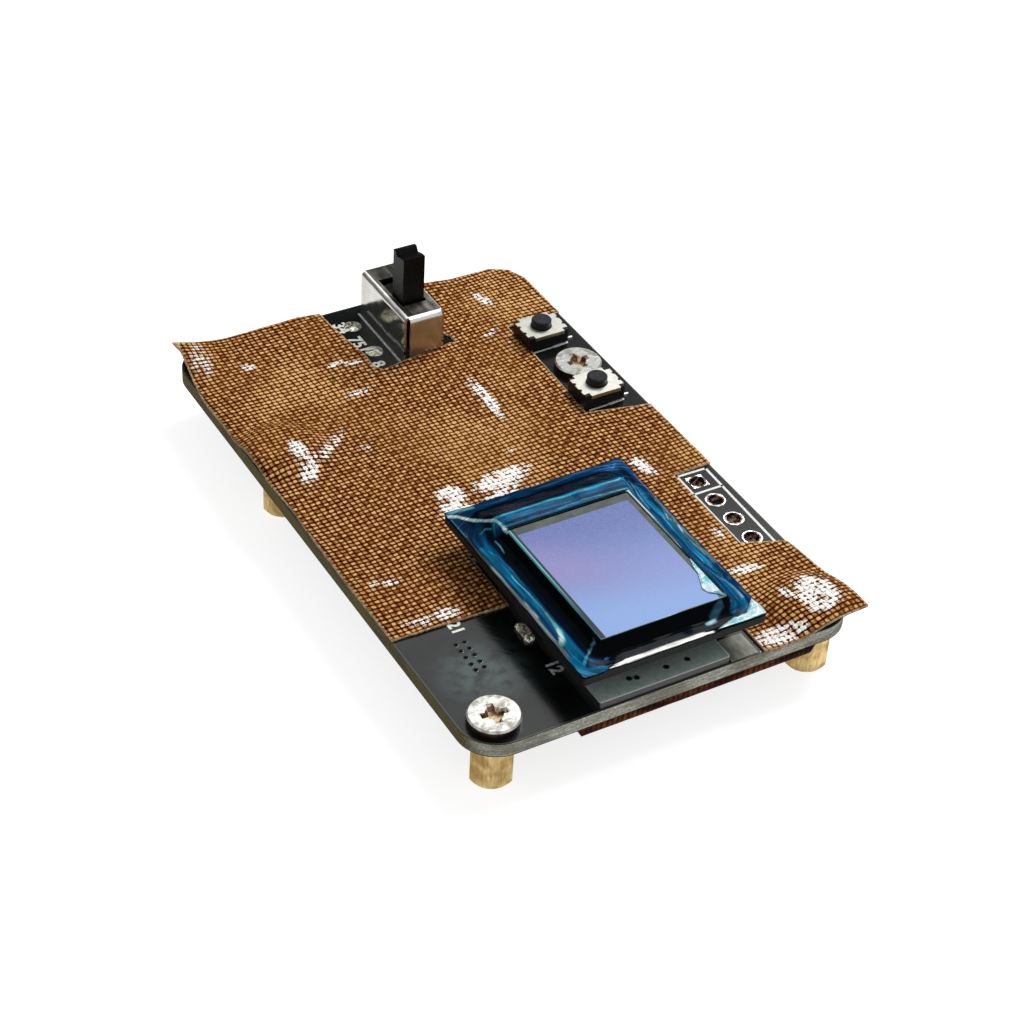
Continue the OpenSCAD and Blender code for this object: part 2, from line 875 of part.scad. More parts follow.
module resistors() {
    color("#1a1a1c")
    for (i = [0:5])
        under_chip(under_x - 5 + i * 2, y_front + 26, 0.5, 1, 0.35);
}

main_board();
top_tape();
bottom_tape();
standoff(-1, -1);  // standoff_front_left
standoff(1, -1);  // standoff_front_right
standoff(-1, 1);  // standoff_rear_left
standoff(1, 1);  // standoff_rear_right
screw(-1, -1);  // screw_front_left
screw(1, -1);  // screw_front_right
screw(-1, 1);  // screw_rear_left
screw(1, 1);  // screw_rear_right
display_adapter();
display_socket();
socket_contacts();
display_plug();
display_carrier();
display_die();
bond_bead();
cover_glass();
protective_film();
switch_base();
switch_can();
switch_terminals();
switch_knob();
switch_clip();
switch_solder();
button_body(button_rear_y);  // button_rear_body
button_leads(button_rear_y);  // button_rear_leads
button_dome(button_rear_y);  // button_rear_dome
button_plunger(button_rear_y);  // button_rear_plunger
button_cover(button_rear_y);  // button_rear_cover
button_body(button_front_y);  // button_front_body
button_leads(button_front_y);  // button_front_leads
button_dome(button_front_y);  // button_front_dome
button_plunger(button_front_y);  // button_front_plunger
button_cover(button_front_y);  // button_front_cover
header_pads();
wire_pads();
ground_pad();
chip_capacitor();
driver_chip();
memory_chip();
regulator_chip();
crystal();
coil();
capacitors();
resistors();
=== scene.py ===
import math

import bmesh
import bpy
from mathutils import Matrix, Vector, noise


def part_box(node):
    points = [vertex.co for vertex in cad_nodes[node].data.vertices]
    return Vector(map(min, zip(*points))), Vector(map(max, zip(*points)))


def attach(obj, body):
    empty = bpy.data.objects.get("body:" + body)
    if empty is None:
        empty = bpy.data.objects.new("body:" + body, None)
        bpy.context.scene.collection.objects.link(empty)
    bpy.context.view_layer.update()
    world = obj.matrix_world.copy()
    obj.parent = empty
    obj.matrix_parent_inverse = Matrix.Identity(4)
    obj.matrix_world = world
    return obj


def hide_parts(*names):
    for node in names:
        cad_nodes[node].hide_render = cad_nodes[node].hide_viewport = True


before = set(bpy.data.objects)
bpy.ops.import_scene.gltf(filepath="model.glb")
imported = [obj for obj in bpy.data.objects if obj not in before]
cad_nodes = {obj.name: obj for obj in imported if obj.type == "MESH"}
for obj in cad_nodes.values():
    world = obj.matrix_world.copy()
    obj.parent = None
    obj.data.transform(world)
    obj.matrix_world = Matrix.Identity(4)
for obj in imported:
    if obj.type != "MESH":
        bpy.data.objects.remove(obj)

scene = bpy.context.scene
scene.view_settings.view_transform = "Standard"
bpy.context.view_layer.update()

# ---------------------------------------------------------------- camera and studio
# The camera stands off the front left corner and looks down at 39 degrees through a long lens, so
# the far edge of the board is hardly smaller than the near one.


def add_object(name, data):
    made = bpy.data.objects.new(name, data)
    scene.collection.objects.link(made)
    return made


camera = add_object("camera", bpy.data.cameras.new("camera"))
camera.data.sensor_width = 36.0
camera.data.lens = 85.605
camera.data.clip_start = 0.01
camera_place = Matrix.Translation((-0.077401, -0.120458, 0.120889))
camera_right = Vector((0.868043, -0.494139, 0.048251))
camera_up = Vector((0.276333, 0.561583, 0.779913))
camera_turn = Matrix((camera_right, camera_up, camera_right.cross(camera_up))).transposed()
camera.matrix_world = camera_place @ camera_turn.to_4x4()
scene.camera = camera

# A white tent lights the object softly from all sides. What the camera, metal and glass see of it
# is plain white.


class Amount:
    """A number, a colour or a place that changes over a surface. Sums with it add Math nodes."""

    def __init__(self, socket):
        self.socket = socket

    def __add__(self, other):
        return calc("ADD", self, other)

    def __sub__(self, other):
        return calc("SUBTRACT", self, other)

    def __rsub__(self, other):
        return calc("SUBTRACT", other, self)

    def __mul__(self, other):
        return calc("MULTIPLY", self, other)

    def __truediv__(self, other):
        return calc("DIVIDE", self, other)

    def __gt__(self, other):
        return calc("GREATER_THAN", self, other)

    def __lt__(self, other):
        return calc("LESS_THAN", self, other)

    def __abs__(self):
        return calc("ABSOLUTE", self)

    __radd__, __rmul__ = __add__, __mul__


def set_input(socket, value):
    """Links an Amount or a node's first output, and sets a plain value."""
    if isinstance(value, bpy.types.Node):
        value = Amount(value.outputs[0])
    if isinstance(value, Amount):
        socket.id_data.links.new(value.socket, socket)
    else:
        socket.default_value = value


def add_node(tree, kind, inputs=None, **settings):
    node = tree.nodes.new("ShaderNode" + kind)
    for name, value in settings.items():
        setattr(node, name, value)
    for key, value in (inputs or {}).items():
        set_input(node.inputs[key], value)
    return node


def calc(operation, *values, kind="Math", output=0):
    """What a Math node makes of the values."""
    tree = next(value.socket.id_data for value in values if isinstance(value, Amount))
    return Amount(add_node(tree, kind, dict(enumerate(values)), operation=operation).outputs[output])


def empty_tree(owner):
    owner.use_nodes = True
    owner.node_tree.nodes.clear()
    return owner.node_tree


def seen_by(tree, *rays):
    """1 for the named kinds of ray."""
    path = add_node(tree, "LightPath")
    seen = Amount(path.outputs[rays[0]])
    for ray in rays[1:]:
        seen = calc("MAXIMUM", seen, Amount(path.outputs[ray]))
    return seen


scene.world = bpy.data.worlds.new("studio")
tree = empty_tree(scene.world)
seen = seen_by(tree, "Is Camera Ray", "Is Glossy Ray", "Is Transmission Ray")
fill = add_node(tree, "Background", {"Color": (1, 1, 1, 1), "Strength": 0.42})
white = add_node(tree, "Background", {"Color": (1, 1, 1, 1)})
either = add_node(tree, "MixShader", {0: seen, 1: fill, 2: white})
add_node(tree, "OutputWorld", {"Surface": either})

# One large soft box stands at the right and behind, as the shadows under the display show.
soft_box = add_object("soft_box", bpy.data.lights.new("soft_box", "AREA"))
soft_box.data.shape = "SQUARE"
soft_box.data.size = 0.26
soft_box.data.energy = 2.6
soft_box.location = (0.30, 0.14, 0.44)
soft_box.rotation_euler = (soft_box.location - Vector((0, 0, 0.005))).to_track_quat("Z", "Y").to_euler()

# The floor is white paper. It glows a little for the camera and for reflections, so that it reads
# as white, and it keeps the shadow.


def make_mesh(name, bm, *materials):
    mesh = bpy.data.meshes.new(name)
    bm.to_mesh(mesh)
    bm.free()
    for material in materials:
        mesh.materials.append(material)
    return mesh


paper = bpy.data.materials.new("paper")
tree = empty_tree(paper)
glow = add_node(tree, "Emission", {"Strength": seen_by(tree, "Is Camera Ray", "Is Glossy Ray") * 0.8})
matt = add_node(tree, "BsdfDiffuse", {"Color": (0.5, 0.5, 0.5, 1)})
both = add_node(tree, "AddShader", {0: matt, 1: glow})
add_node(tree, "OutputMaterial", {"Surface": both})
bm = bmesh.new()
bmesh.ops.create_grid(bm, x_segments=1, y_segments=1, size=0.8)
add_object("floor", make_mesh("floor", bm, paper))

# Three cards stand behind the object, the darkest at the rear left. Only reflections see them, and
# they take the glare off the rear half of the board.
card_shades = []
for name, level in (("card_grey", 0.27), ("card_dark", 0.05)):
    shade = bpy.data.materials.new(name)
    tree = empty_tree(shade)
    glow = add_node(tree, "Emission", {"Color": (level, level, level, 1)})
    add_node(tree, "OutputMaterial", {"Surface": glow})
    card_shades.append(shade)
card_foot = -0.028
card_places = ((-0.0434, 0.1690, -32.7, 0.2447, 0.125), (0.1669, 0.0339, -32.7, 0.2554, 0.118),
               (-0.070, 0.110, 27.0, 0.14, 0.116))
bm = bmesh.new()
for x, y, turn, width, height in card_places:
    upright = Matrix.Rotation(math.radians(turn), 4, "Z") @ Matrix.Rotation(math.radians(90), 4, "X")
    bmesh.ops.create_grid(bm, x_segments=1, y_segments=1, size=0.5, matrix=Matrix.Translation(
        (x, y, height / 2 + card_foot)) @ upright @ Matrix.Diagonal((width, height, 1, 1)))
bm.faces.ensure_lookup_table()
bm.faces[0].material_index = 1
cards = add_object("grey_card", make_mesh("grey_card", bm, *card_shades))
cards.visible_camera = cards.visible_diffuse = cards.visible_transmission = cards.visible_shadow = False

# ---------------------------------------------------------------- main board
# The board is routed glass-fibre laminate with a satin black mask on both faces. The mask stops
# short of the rim, and the cut edge shows the bare laminate.


def srgb(red, green, blue):
    """A colour as it is seen, from 0 to 255, as a linear one."""
    levels = [c / 255 for c in (red, green, blue)]
    return tuple(c / 12.92 if c <= 0.04045 else ((c + 0.055) / 1.055) ** 2.4 for c in levels) + (1.0,)


class Finish:
    """A material, with the place on the object that its patterns follow."""

    def __init__(self, name, metallic, roughness, shine=None):
        self.material = bpy.data.materials.new(name)
        self.material.use_nodes = True
        self.tree = self.material.node_tree
        self.shader = self.tree.nodes["Principled BSDF"]
        for key, value in {"Metallic": metallic, "Roughness": roughness, **(shine or {})}.items():
            self.shader.inputs[key].default_value = value
        self.place = Amount(add_node(self.tree, "TexCoord").outputs["Object"])

    def dress(self, colour, roughness=None, height=None, depth_mm=0.01):
        """Gives it colour, and roughness and relief where they change over the surface."""
        set_input(self.shader.inputs["Base Color"], colour)
        if roughness is not None:
            set_input(self.shader.inputs["Roughness"], roughness)
        if height is not None:
            self.bump = add_node(self.tree, "Bump", {"Height": height, "Distance": depth_mm / 1000})
            set_input(self.shader.inputs["Normal"], self.bump)
        return self

    def paint(self, *names):
        """Puts it on CAD nodes."""
        for name in names:
            mesh = cad_nodes[name].data
            mesh.materials.clear()
            mesh.materials.append(self.material)


def calc_vector(operation, *values):
    return calc(operation, *values, kind="VectorMath", output=1 if operation in ("LENGTH", "DISTANCE") else 0)


def axes(place):
    return [Amount(socket) for socket in add_node(place.socket.id_data, "SeparateXYZ", {0: place}).outputs]


def near(value, middle, reach):
    """1 where the value is within reach of the middle."""
    return calc("COMPARE", value, middle, reach)


def ramp(value, low, high):
    """0 at low and 1 at high, with soft ends."""
    steps = add_node(value.socket.id_data, "MapRange", {"Value": value, "From Min": low, "From Max": high},
                     interpolation_type="SMOOTHSTEP")
    return Amount(steps.outputs["Result"])


def tint(mask, *colours):
    """The first colour where the mask is 0 and the second where it is 1. Plain ones are as they are seen."""
    first, second = [srgb(*colour) if isinstance(colour, tuple) else colour for colour in colours]
    mix = add_node(mask.socket.id_data, "Mix", {0: mask, 6: first, 7: second}, data_type="RGBA")
    return Amount(mix.outputs[2])


def start_group(name, inputs, outputs):
    """A node group, its inputs as Amounts, and the node that takes its outputs."""
    group = bpy.data.node_groups.new(name, "ShaderNodeTree")
    for way, sockets in (("INPUT", inputs), ("OUTPUT", outputs)):
        for socket, kind in sockets.items():
            group.interface.new_socket(socket, in_out=way, socket_type="NodeSocket" + kind)
    inlet = group.nodes.new("NodeGroupInput")
    return group, [Amount(inlet.outputs[socket]) for socket in inputs], group.nodes.new("NodeGroupOutput")


soft_grain, inlets, outlet = start_group(
    "soft_grain", {"Place": "Vector", "Stretch": "Vector", "Scale": "Float", "Detail": "Float", "Low": "Float",
                   "High": "Float"}, {"Patches": "Float"})
place, stretch, scale, detail, low, high = inlets
stretched = add_node(soft_grain, "Mapping", {"Vector": place, "Scale": stretch})
patches = add_node(soft_grain, "TexNoise", {"Vector": stretched, "Scale": scale, "Detail": detail})
set_input(outlet.inputs["Patches"], ramp(Amount(patches.outputs["Fac"]), low, high))


def grain(place, size_mm, low=0.35, high=0.65, detail=3.0, stretch=(1, 1, 1)):
    """Soft patches about size_mm across, drawn out along the axes whose stretch is small."""
    patches = add_node(place.socket.id_data, "Group", {
        "Place": place, "Stretch": stretch, "Scale": 1000 / size_mm, "Detail": detail, "Low": low, "High": high},
        node_tree=soft_grain)
    return Amount(patches.outputs["Patches"])


board_top, board_middle, board_centre, corner_radius = 0.0052, 0.0046, (0, 0.0067, 0), 0.003
arc_centre = (0.013, 0.023, 1)
via_group = (-0.0117, -0.0122, board_top)
solder_mask = Finish("solder_mask", 0.0, 0.17, {"IOR": 1.56})
place = solder_mask.place
x, y, z = axes(place)
from_centre = calc_vector("ABSOLUTE", calc_vector("SUBTRACT", place, board_centre))
past_arc = calc_vector("MAXIMUM", calc_vector("SUBTRACT", from_centre, arc_centre), (0, 0, 0))
from_rim = corner_radius - calc_vector("LENGTH", past_arc)
mask_tone = tint(grain(place, 2.6, 0.4, 0.7, 4.0), (7, 9, 9), (18, 24, 24))
haze = ramp(calc_vector("DISTANCE", place, via_group), 0.0044, 0.0008) * grain(place, 1.3, 0.3, 0.6, 4.0)
mask_tone = tint(haze, mask_tone, (66, 80, 80))
mask_tone = tint(near(from_rim, 0.00020, 0.00006), mask_tone, (5, 6, 6))
mask_tone = tint(from_rim < 0.00014, mask_tone, (58, 60, 52))
# The cut laminate is olive at the sides, and its front is painted pale as a face in the light. It
# has worn patches, faint layers and the foil's dark line at each face.
fibres = grain(place, 0.16, 0.4, 0.62, 4.0, (1, 1, 2.5))
painted_lit_front = ramp(y, -0.0168, -0.0190)
side_laminate = tint(fibres, (74, 66, 22), (124, 112, 56))
laminate = tint(painted_lit_front, side_laminate, tint(fibres, (188, 190, 172), (252, 252, 240)))
worn = grain(place, 1.5, 0.5, 0.62, 5.0, (0.5, 0.5, 1.5))
laminate = tint(worn * 0.5, laminate, tint(painted_lit_front, (44, 40, 22), (104, 100, 84)))
laminate = tint(grain(place, 0.5, 0.35, 0.65, 2.0, (0.15, 0.15, 3)) * 0.35, laminate, (70, 66, 50))
laminate = tint(abs(z - board_middle) > 0.00053, laminate, (34, 32, 26))
# Copper traces under the mask show as low slanted lines.
slanted = add_node(solder_mask.tree, "Mapping", {"Vector": place, "Rotation": (0, 0, math.radians(45))})
traces = add_node(solder_mask.tree, "TexBrick", {
    "Vector": slanted, "Scale": 1.0, "Brick Width": 0.0034, "Row Height": 0.0011, "Mortar Size": 0.00008,
    "Mortar Smooth": 0.6})
trace_height = Amount(traces.outputs["Fac"]) * grain(place, 5, 0.48, 0.58, 1.0)
on_edge = near(z, board_middle, 0.000596)
solder_mask.dress(tint(on_edge, mask_tone, laminate), 0.17 + on_edge * 0.80,
                  trace_height * -0.2 + fibres * (0.06 + on_edge * 1.6), 0.012)
solder_mask.paint("main_board")

# ---------------------------------------------------------------- stand-offs and screws
# Four hex stand-offs are turned from brass bar and stand under the corners. The brass is dull, with
# a brown bloom, fine upright streaks and a few stains.
brass = Finish("dull_brass", 1.0, 0.34)
bloom = grain(brass.place, 1.1, 0.38, 0.66, 4.0)
streaks = grain(brass.place, 0.3, 0.35, 0.65, 2.0, (1.5, 1.5, 0.25))
stains = grain(brass.place, 1.1, 0.60, 0.68, 3.0, (1.2, 1.2, 0.4))
tone = tint(streaks * 0.35, tint(bloom, (214, 188, 130), (174, 144, 88)), (112, 82, 38))
brass.dress(tint(stains * 0.35, tone, (96, 66, 30)), 0.26 + bloom * 0.18, streaks + bloom, 0.006)
brass.paint(*[name for name in cad_nodes if name.startswith("standoff_")])

# Four flat-head screws with a cross recess hold the board down. They are plated steel with a matt
# top. The recess is brown with white chips, and the side of the head is painted dark brown as shade.
recess_radius, side_radius = 0.00135, 0.00186
for screw in [name for name in cad_nodes if name.startswith("screw_")]:
    low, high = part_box(screw)
    plated = Finish(screw + "_plating", 1.0, 0.36)
    place = plated.place
    off_axis = calc_vector("MULTIPLY", calc_vector("SUBTRACT", place, tuple((low + high) / 2)), (1, 1, 0))
    radius = calc_vector("LENGTH", off_axis)
    sunk = high.z - axes(place)[2]
    in_recess = (radius < recess_radius) * ramp(sunk, 0.00002, 0.00014)
    # The side of the head is painted dark brown as shade.
    on_side = (radius > side_radius) * ramp(sunk, 0.00012, 0.0002)
    wear = grain(place, 0.8, 0.42, 0.66, 5.0)
    chips = grain(place, 0.55, 0.52, 0.58, 1.0) * (sunk < 0.0003)
    recess_tone = tint(chips, tint(wear, (172, 150, 120), (106, 80, 54)), (240, 240, 232))
    head = tint(in_recess, tint(wear, (192, 193, 189), (128, 125, 117)), recess_tone)
    plated.dress(tint(on_side, head, (52, 38, 34)), 0.34 + wear * 0.16, wear, 0.012)
    plated.paint(screw)

# ---------------------------------------------------------------- header, pads and vias
# Four plated holes in a row take a header. The plating is hot-air levelled tin, and the bores are
# painted dark brown: flux on bare copper, darkened with painted shade inside the holes.
pitch, first_hole_y, header_x, bore_radius = 0.00254, 0.011120 - 0.0193, 0.0299 - 0.016, 0.00070
tin = Finish("levelled_tin", 1.0, 0.3)
place = tin.place
x, y, z = axes(place)
past_hole = calc("FLOORED_MODULO", y - (first_hole_y - pitch / 2), pitch) - pitch / 2
beside_hole = x - header_x
from_hole = calc("SQRT", past_hole * past_hole + beside_hole * beside_hole)
in_bore = calc("MAXIMUM", near(z, board_middle, 0.00061), from_hole < bore_radius)
flux = grain(place, 0.5, 0.45, 0.6)
tone = tint(in_bore, tint(flux, (236, 238, 236), (250, 250, 248)), tint(flux, (34, 22, 18), (132, 112, 98)))
tin.dress(tone, height=grain(place, 0.4), depth_mm=0.02)
tin.paint("header_pads")

# Two wires were soldered beside the slide switch. What is left is a rough dome of flux-stained
# solder on each pad.
old_solder = Finish("old_solder", 1.0, 0.34)
lumps = grain(old_solder.place, 0.55, 0.3, 0.7, 4.0)
old_solder.dress(tint(lumps, (166, 166, 140), (240, 240, 228)), 0.22 + lumps * 0.25, lumps, 0.16)
old_solder.paint("wire_pads", "switch_solder")

# A bare tinned pad lies at the front edge, grey and scratched.


def two_tone(name, metallic, roughness, patches, first, second, bumps, depth_mm, shine=None):
    """A finish of two colours in soft patches, with fine bumps. Both patterns are given as grain's values."""
    finish = Finish(name, metallic, roughness, shine)
    return finish.dress(tint(grain(finish.place, *patches), first, second), height=grain(finish.place, *bumps),
                        depth_mm=depth_mm)


scratches = (0.4, 0.35, 0.7, 5.0, (1, 0.4, 1))
grey_tin = two_tone("grey_tin", 0.15, 0.6, scratches, (118, 117, 106), (150, 149, 138), scratches, 0.02)
grey_tin.paint("ground_pad")

# The marks are printed on the mask in white ink: a box round the header, a line beside each switch,
# and plain numbers. The ink is a raised film with soft edges.
BOARD_FRAME = Matrix.Scale(0.001, 4) @ Matrix.Translation((-16.0, -19.3, 5.2))


def place_piece(name, bm, finish, smooth=False):
    """A piece on the board, from a mesh in millimetres from the board's front left corner and top."""
    bm.transform(BOARD_FRAME)
    mesh = make_mesh(name, bm, finish.material)
    mesh.shade_smooth() if smooth else mesh.shade_flat()
    piece = add_object(name, mesh)
    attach(piece, "board")
    return piece


def add_stroke(bm, start, end, width):
    """A printed stroke with round ends."""
    thick = 0.02
    start, end = Vector(start), Vector(end)
    along = end - start
    turn = Matrix.Rotation(math.atan2(along.y, along.x), 4, "Z")
    middle = Matrix.Translation(((start.x + end.x) / 2, (start.y + end.y) / 2, thick / 2))
    made = bmesh.ops.create_cube(bm, size=1, matrix=middle @ turn @ Matrix.Diagonal(
        (along.length + width, width, thick, 1)))
    ends = [e for e in {e for v in made["verts"] for e in v.link_edges}
            if abs(e.verts[0].co.z - e.verts[1].co.z) > thick / 2]
    bmesh.ops.bevel(bm, geom=ends, offset=width * 0.48, segments=4, profile=0.5, affect="EDGES", material=-1)


def print_strokes(name, finish, strokes):
    bm = bmesh.new()
    for start, end, width in strokes:
        add_stroke(bm, start, end, width)
    place_piece(name, bm, finish)


ink = two_tone("white_ink", 0.0, 0.55, (0.18, 0.35, 0.7, 4.0), (244, 244, 240), (206, 208, 204), (0.1,), 0.008)
dull_ink = two_tone("dull_ink", 0.0, 0.5, (0.3, 0.35, 0.7, 4.0), (196, 202, 206), (148, 154, 158), (0.1,), 0.008)
header_box = [(28.80, 19.98), (31.42, 19.92), (31.20, 9.90), (28.66, 10.02)]
print_strokes("header_print", ink, [(a, b, 0.21) for a, b in zip(header_box, header_box[1:] + header_box[:1])]
              + [((28.74, 17.50), (31.36, 17.50), 0.21)])
print_strokes("switch_print", dull_ink, [((16.67, 50.80), (16.60, 43.25), 0.20)])
print_strokes("button_print", ink, [stroke for y in (39.53, 30.60) for stroke in (
    ((27.2, y - 0.12), (28.95, y - 0.08), 0.16), ((29.1, y - 0.05), (30.4, y + 0.06), 0.27))])

# The numbers read towards the front edge.
for digits, x, y, size, finish in (("12", 9.05, 5.32, 1.4, dull_ink), ("21", 4.82, 12.10, 1.35, ink),
                                   ("34", 14.35, 49.55, 1.55, ink), ("751", 14.62, 46.75, 1.55, ink),
                                   ("8", 14.78, 43.6, 1.5, ink)):
    name = "print_" + digits
    curve = bpy.data.curves.new(name, "FONT")
    curve.body = digits
    curve.size = size
    curve.extrude = 0.008
    curve.offset = 0.045
    curve.align_x = curve.align_y = "CENTER"
    holder = add_object(name + "_curve", curve)
    bpy.context.view_layer.update()
    flat = bpy.data.meshes.new_from_object(holder.evaluated_get(bpy.context.evaluated_depsgraph_get()))
    bm = bmesh.new()
    bm.from_mesh(flat)
    bm.transform(Matrix.Translation((x, y, 0.012)) @ Matrix.Rotation(math.radians(-90), 4, "Z"))
    bpy.data.objects.remove(holder)
    bpy.data.meshes.remove(flat)
    place_piece(name, bm, finish)

# Small plated vias pass through the mask: a low ring, and a near-black disc as painted shade for the hole.
adapter_top = 0.6
vias = [(x, y, 0.0) for x in (3.98, 4.67) for y in (10.45, 9.73, 8.98, 8.19, 7.53)]
vias += [(x, y, adapter_top) for x, y in ((12.82, 1.39), (13.35, 1.24), (15.82, 1.24), (17.6, 1.27))]
rings, holes = bmesh.new(), bmesh.new()
for x, y, z in vias:
    bmesh.ops.create_cone(rings, cap_ends=True, segments=20, radius1=0.25, radius2=0.21, depth=0.012,
                          matrix=Matrix.Translation((x, y, z + 0.006)))
    bmesh.ops.create_circle(holes, cap_ends=True, segments=16, radius=0.17,
                            matrix=Matrix.Translation((x, y, z + 0.016)))
ring_mask = two_tone("mask_over_copper", 0.0, 0.28, (0.3,), (40, 48, 46), (58, 68, 66), (0.15,), 0.01)
place_piece("via_rings", rings, ring_mask, True)
via_hole_shade = Finish("via_hole_shade", 0.0, 0.8, {"Specular IOR Level": 0.05})
via_hole_shade.dress(tint(grain(via_hole_shade.place, 0.1), (4, 4, 4), (12, 11, 9)))
place_piece("via_hole_shades", holes, via_hole_shade)

# ---------------------------------------------------------------- chips under the board
# The driver, memory and regulator are moulded in black epoxy. The small parts round them are
# ceramic, and all of them lie flat against the board's lower face.
moulding = two_tone("chip_moulding", 0.0, 0.55, (0.08, 0.3, 0.7, 5.0), (24, 25, 27), (40, 41, 43), (0.06,), 0.01)
moulding.paint("driver_chip", "memory_chip", "regulator_chip", "coil", "resistors")
ceramic = two_tone("tan_ceramic", 0.0, 0.45, (0.25, 0.3, 0.7, 4.0), (176, 152, 112), (204, 184, 148), (0.12,),
                   0.01)
ceramic.paint("capacitors")
lid = two_tone("crystal_lid", 1.0, 0.28, (0.4, 0.3, 0.7, 3.0, (1, 0.15, 1)), (206, 204, 198), (178, 176, 172),
               (0.2, 0.35, 0.65, 3.0, (1, 0.1, 1)), 0.005)
lid.paint("crystal")

# The capacitor beside the display is pale ceramic, with a ragged fillet of solder at each end. The
# seed keeps the solder, and the fray of the tape below, the same on each run.
pale_ceramic = two_tone("pale_ceramic", 0.0, 0.4, (0.3, 0.35, 0.65, 4.0), (238, 232, 204), (86, 80, 62), (0.2,),
                        0.05)
pale_ceramic.paint("chip_capacitor")
noise.seed_set(11)
bm = bmesh.new()
for y, length in ((9.95, 0.75), (8.62, 0.62)):
    bmesh.ops.create_icosphere(bm, subdivisions=3, radius=1, matrix=Matrix.Translation(
        (8.97, y, 0.12)) @ Matrix.Diagonal((0.42, length / 2, 0.30, 1)))
for v in bm.verts:
    v.co.z = max(v.co.z, 0.004)
    v.co += 0.16 * Vector(noise.noise_vector(v.co * 5)) * (1 if v.co.z > 0.01 else 0)
place_piece("capacitor_solder", bm, old_solder, True)

# ---------------------------------------------------------------- woven tape
# Heat-proof woven tape covers most of the top. It is a plain weave of golden brown glass yarn, cut
# by hand with scissors, pressed over two screw heads and scuffed white on the high spots.

# The weave says how high the cloth stands, and where the cross yarn is the one on top. Each yarn is
# a round ridge that rises and sinks as it runs over and under the others.
plain_weave, inlets, outlet = start_group("plain_weave", {
    "Place": "Vector", "Pitch X": "Float", "Pitch Y": "Float"}, {"Height": "Float", "Cross Yarn": "Float"})
place, pitch_x, pitch_y = inlets
across, along = axes(place)[0] / pitch_x, axes(place)[1] / pitch_y
yarns = []
for run, side, sign, width, fullness in ((across, along, 1, 0.76, 0.52), (along, across, -1, 0.92, 0.44)):
    parity = 1.0 - calc("FLOORED_MODULO", calc("FLOOR", side), 2.0) * 2.0
    from_middle = (calc("FRACT", side) * 2.0 - 1.0) / width
    roundness = calc("SQRT", calc("MAXIMUM", 0.0, 1.0 - from_middle * from_middle))
    crimp = calc("SINE", run * math.pi) * 1.35
    crimp = calc("MAXIMUM", calc("MINIMUM", crimp, 1.0), -1.0) * parity
    yarns.append(roundness * fullness + 0.02 * sign + crimp * ((1 - fullness) * sign))
set_input(outlet.inputs["Height"], calc("MAXIMUM", *yarns))
set_input(outlet.inputs["Cross Yarn"], ramp(yarns[1] - yarns[0], -0.06, 0.06))


def stray(place, scale, detail, reach):
    """A small shift of the pattern, up to half of reach in metres, that wanders over the cloth."""
    wander = add_node(place.socket.id_data, "TexNoise", {"Vector": place, "Scale": scale, "Detail": detail})
    off_middle = calc_vector("SUBTRACT", Amount(wander.outputs["Color"]), (0.5, 0.5, 0.5))
    return calc_vector("MULTIPLY", off_middle, (reach, reach, 0))


def attribute(tree, name, output="Fac"):
    return Amount(add_node(tree, "Attribute", attribute_name=name).outputs[output])


def make_tape_finish(name, bright, middle, dark, scuffed):
    tape = Finish(name, 0.0, 0.5, {"Specular IOR Level": 0.02})
    place = tape.place
    laid = calc_vector("ADD", place, stray(place, 90, 1.0, 0.0013))
    laid = calc_vector("ADD", laid, stray(place, 1700, 2.0, 0.00013))
    cloth = add_node(tape.tree, "Group", {"Place": laid, "Pitch X": 0.000452, "Pitch Y": 0.000420},
                     node_tree=plain_weave)
    height, cross_yarn = Amount(cloth.outputs["Height"]), Amount(cloth.outputs["Cross Yarn"])
    fibres = grain(laid, 0.07, 0.3, 0.7, 2.0, (0.25, 1, 1))
    cross_yarn_shade = 0.105 - grain(place, 9, 0.56, 0.72, 1.0) * 0.21
    # The colour follows the weave's height: light on the yarn tops as a painted highlight, dark in the gaps as
    # painted shade, and darker on the cross yarn, as painted shade, where it lies on top.
    shade = height - cross_yarn * cross_yarn_shade + (fibres - 0.5) * 0.22
    shade = shade + (grain(place, 0.6, 0.3, 0.7) - 0.5) * 0.24
    colour = tint(ramp(shade, 0.74, 1.04), tint(ramp(shade, 0.43, 0.72), dark, middle), bright)
    colour = tint(grain(place, 7, 0.4, 0.7, 2.0) * 0.18, colour, middle)
    roughness = None
    if scuffed:
        broken = (0.16 + grain(place, 0.9, 0.30, 0.55, 3.0) * 0.84) * (0.35 + grain(place, 0.28, 0.4, 0.55, 2.0))
        rub = attribute(tape.tree, "scuff") * broken
        rubbed = ramp(height + rub * 0.55, 0.82, 1.0) * ramp(rub, 0.06, 0.60)
        colour = tint(rubbed, colour, (255, 252, 246))
        fringe = ramp(attribute(tape.tree, "from_cut"), 0.16, 0.03) * 0.75
        colour = tint(fringe, colour, tint(grain(place, 0.3), (176, 140, 92), (226, 206, 176)))
        roughness = 0.46 + rubbed * 0.4
    return tape.dress(colour, roughness, height + fibres * 0.12, 0.09)


tape_finish = make_tape_finish("woven_glass_tape", (230, 187, 124), (134, 75, 26), (38, 4, 0), True)

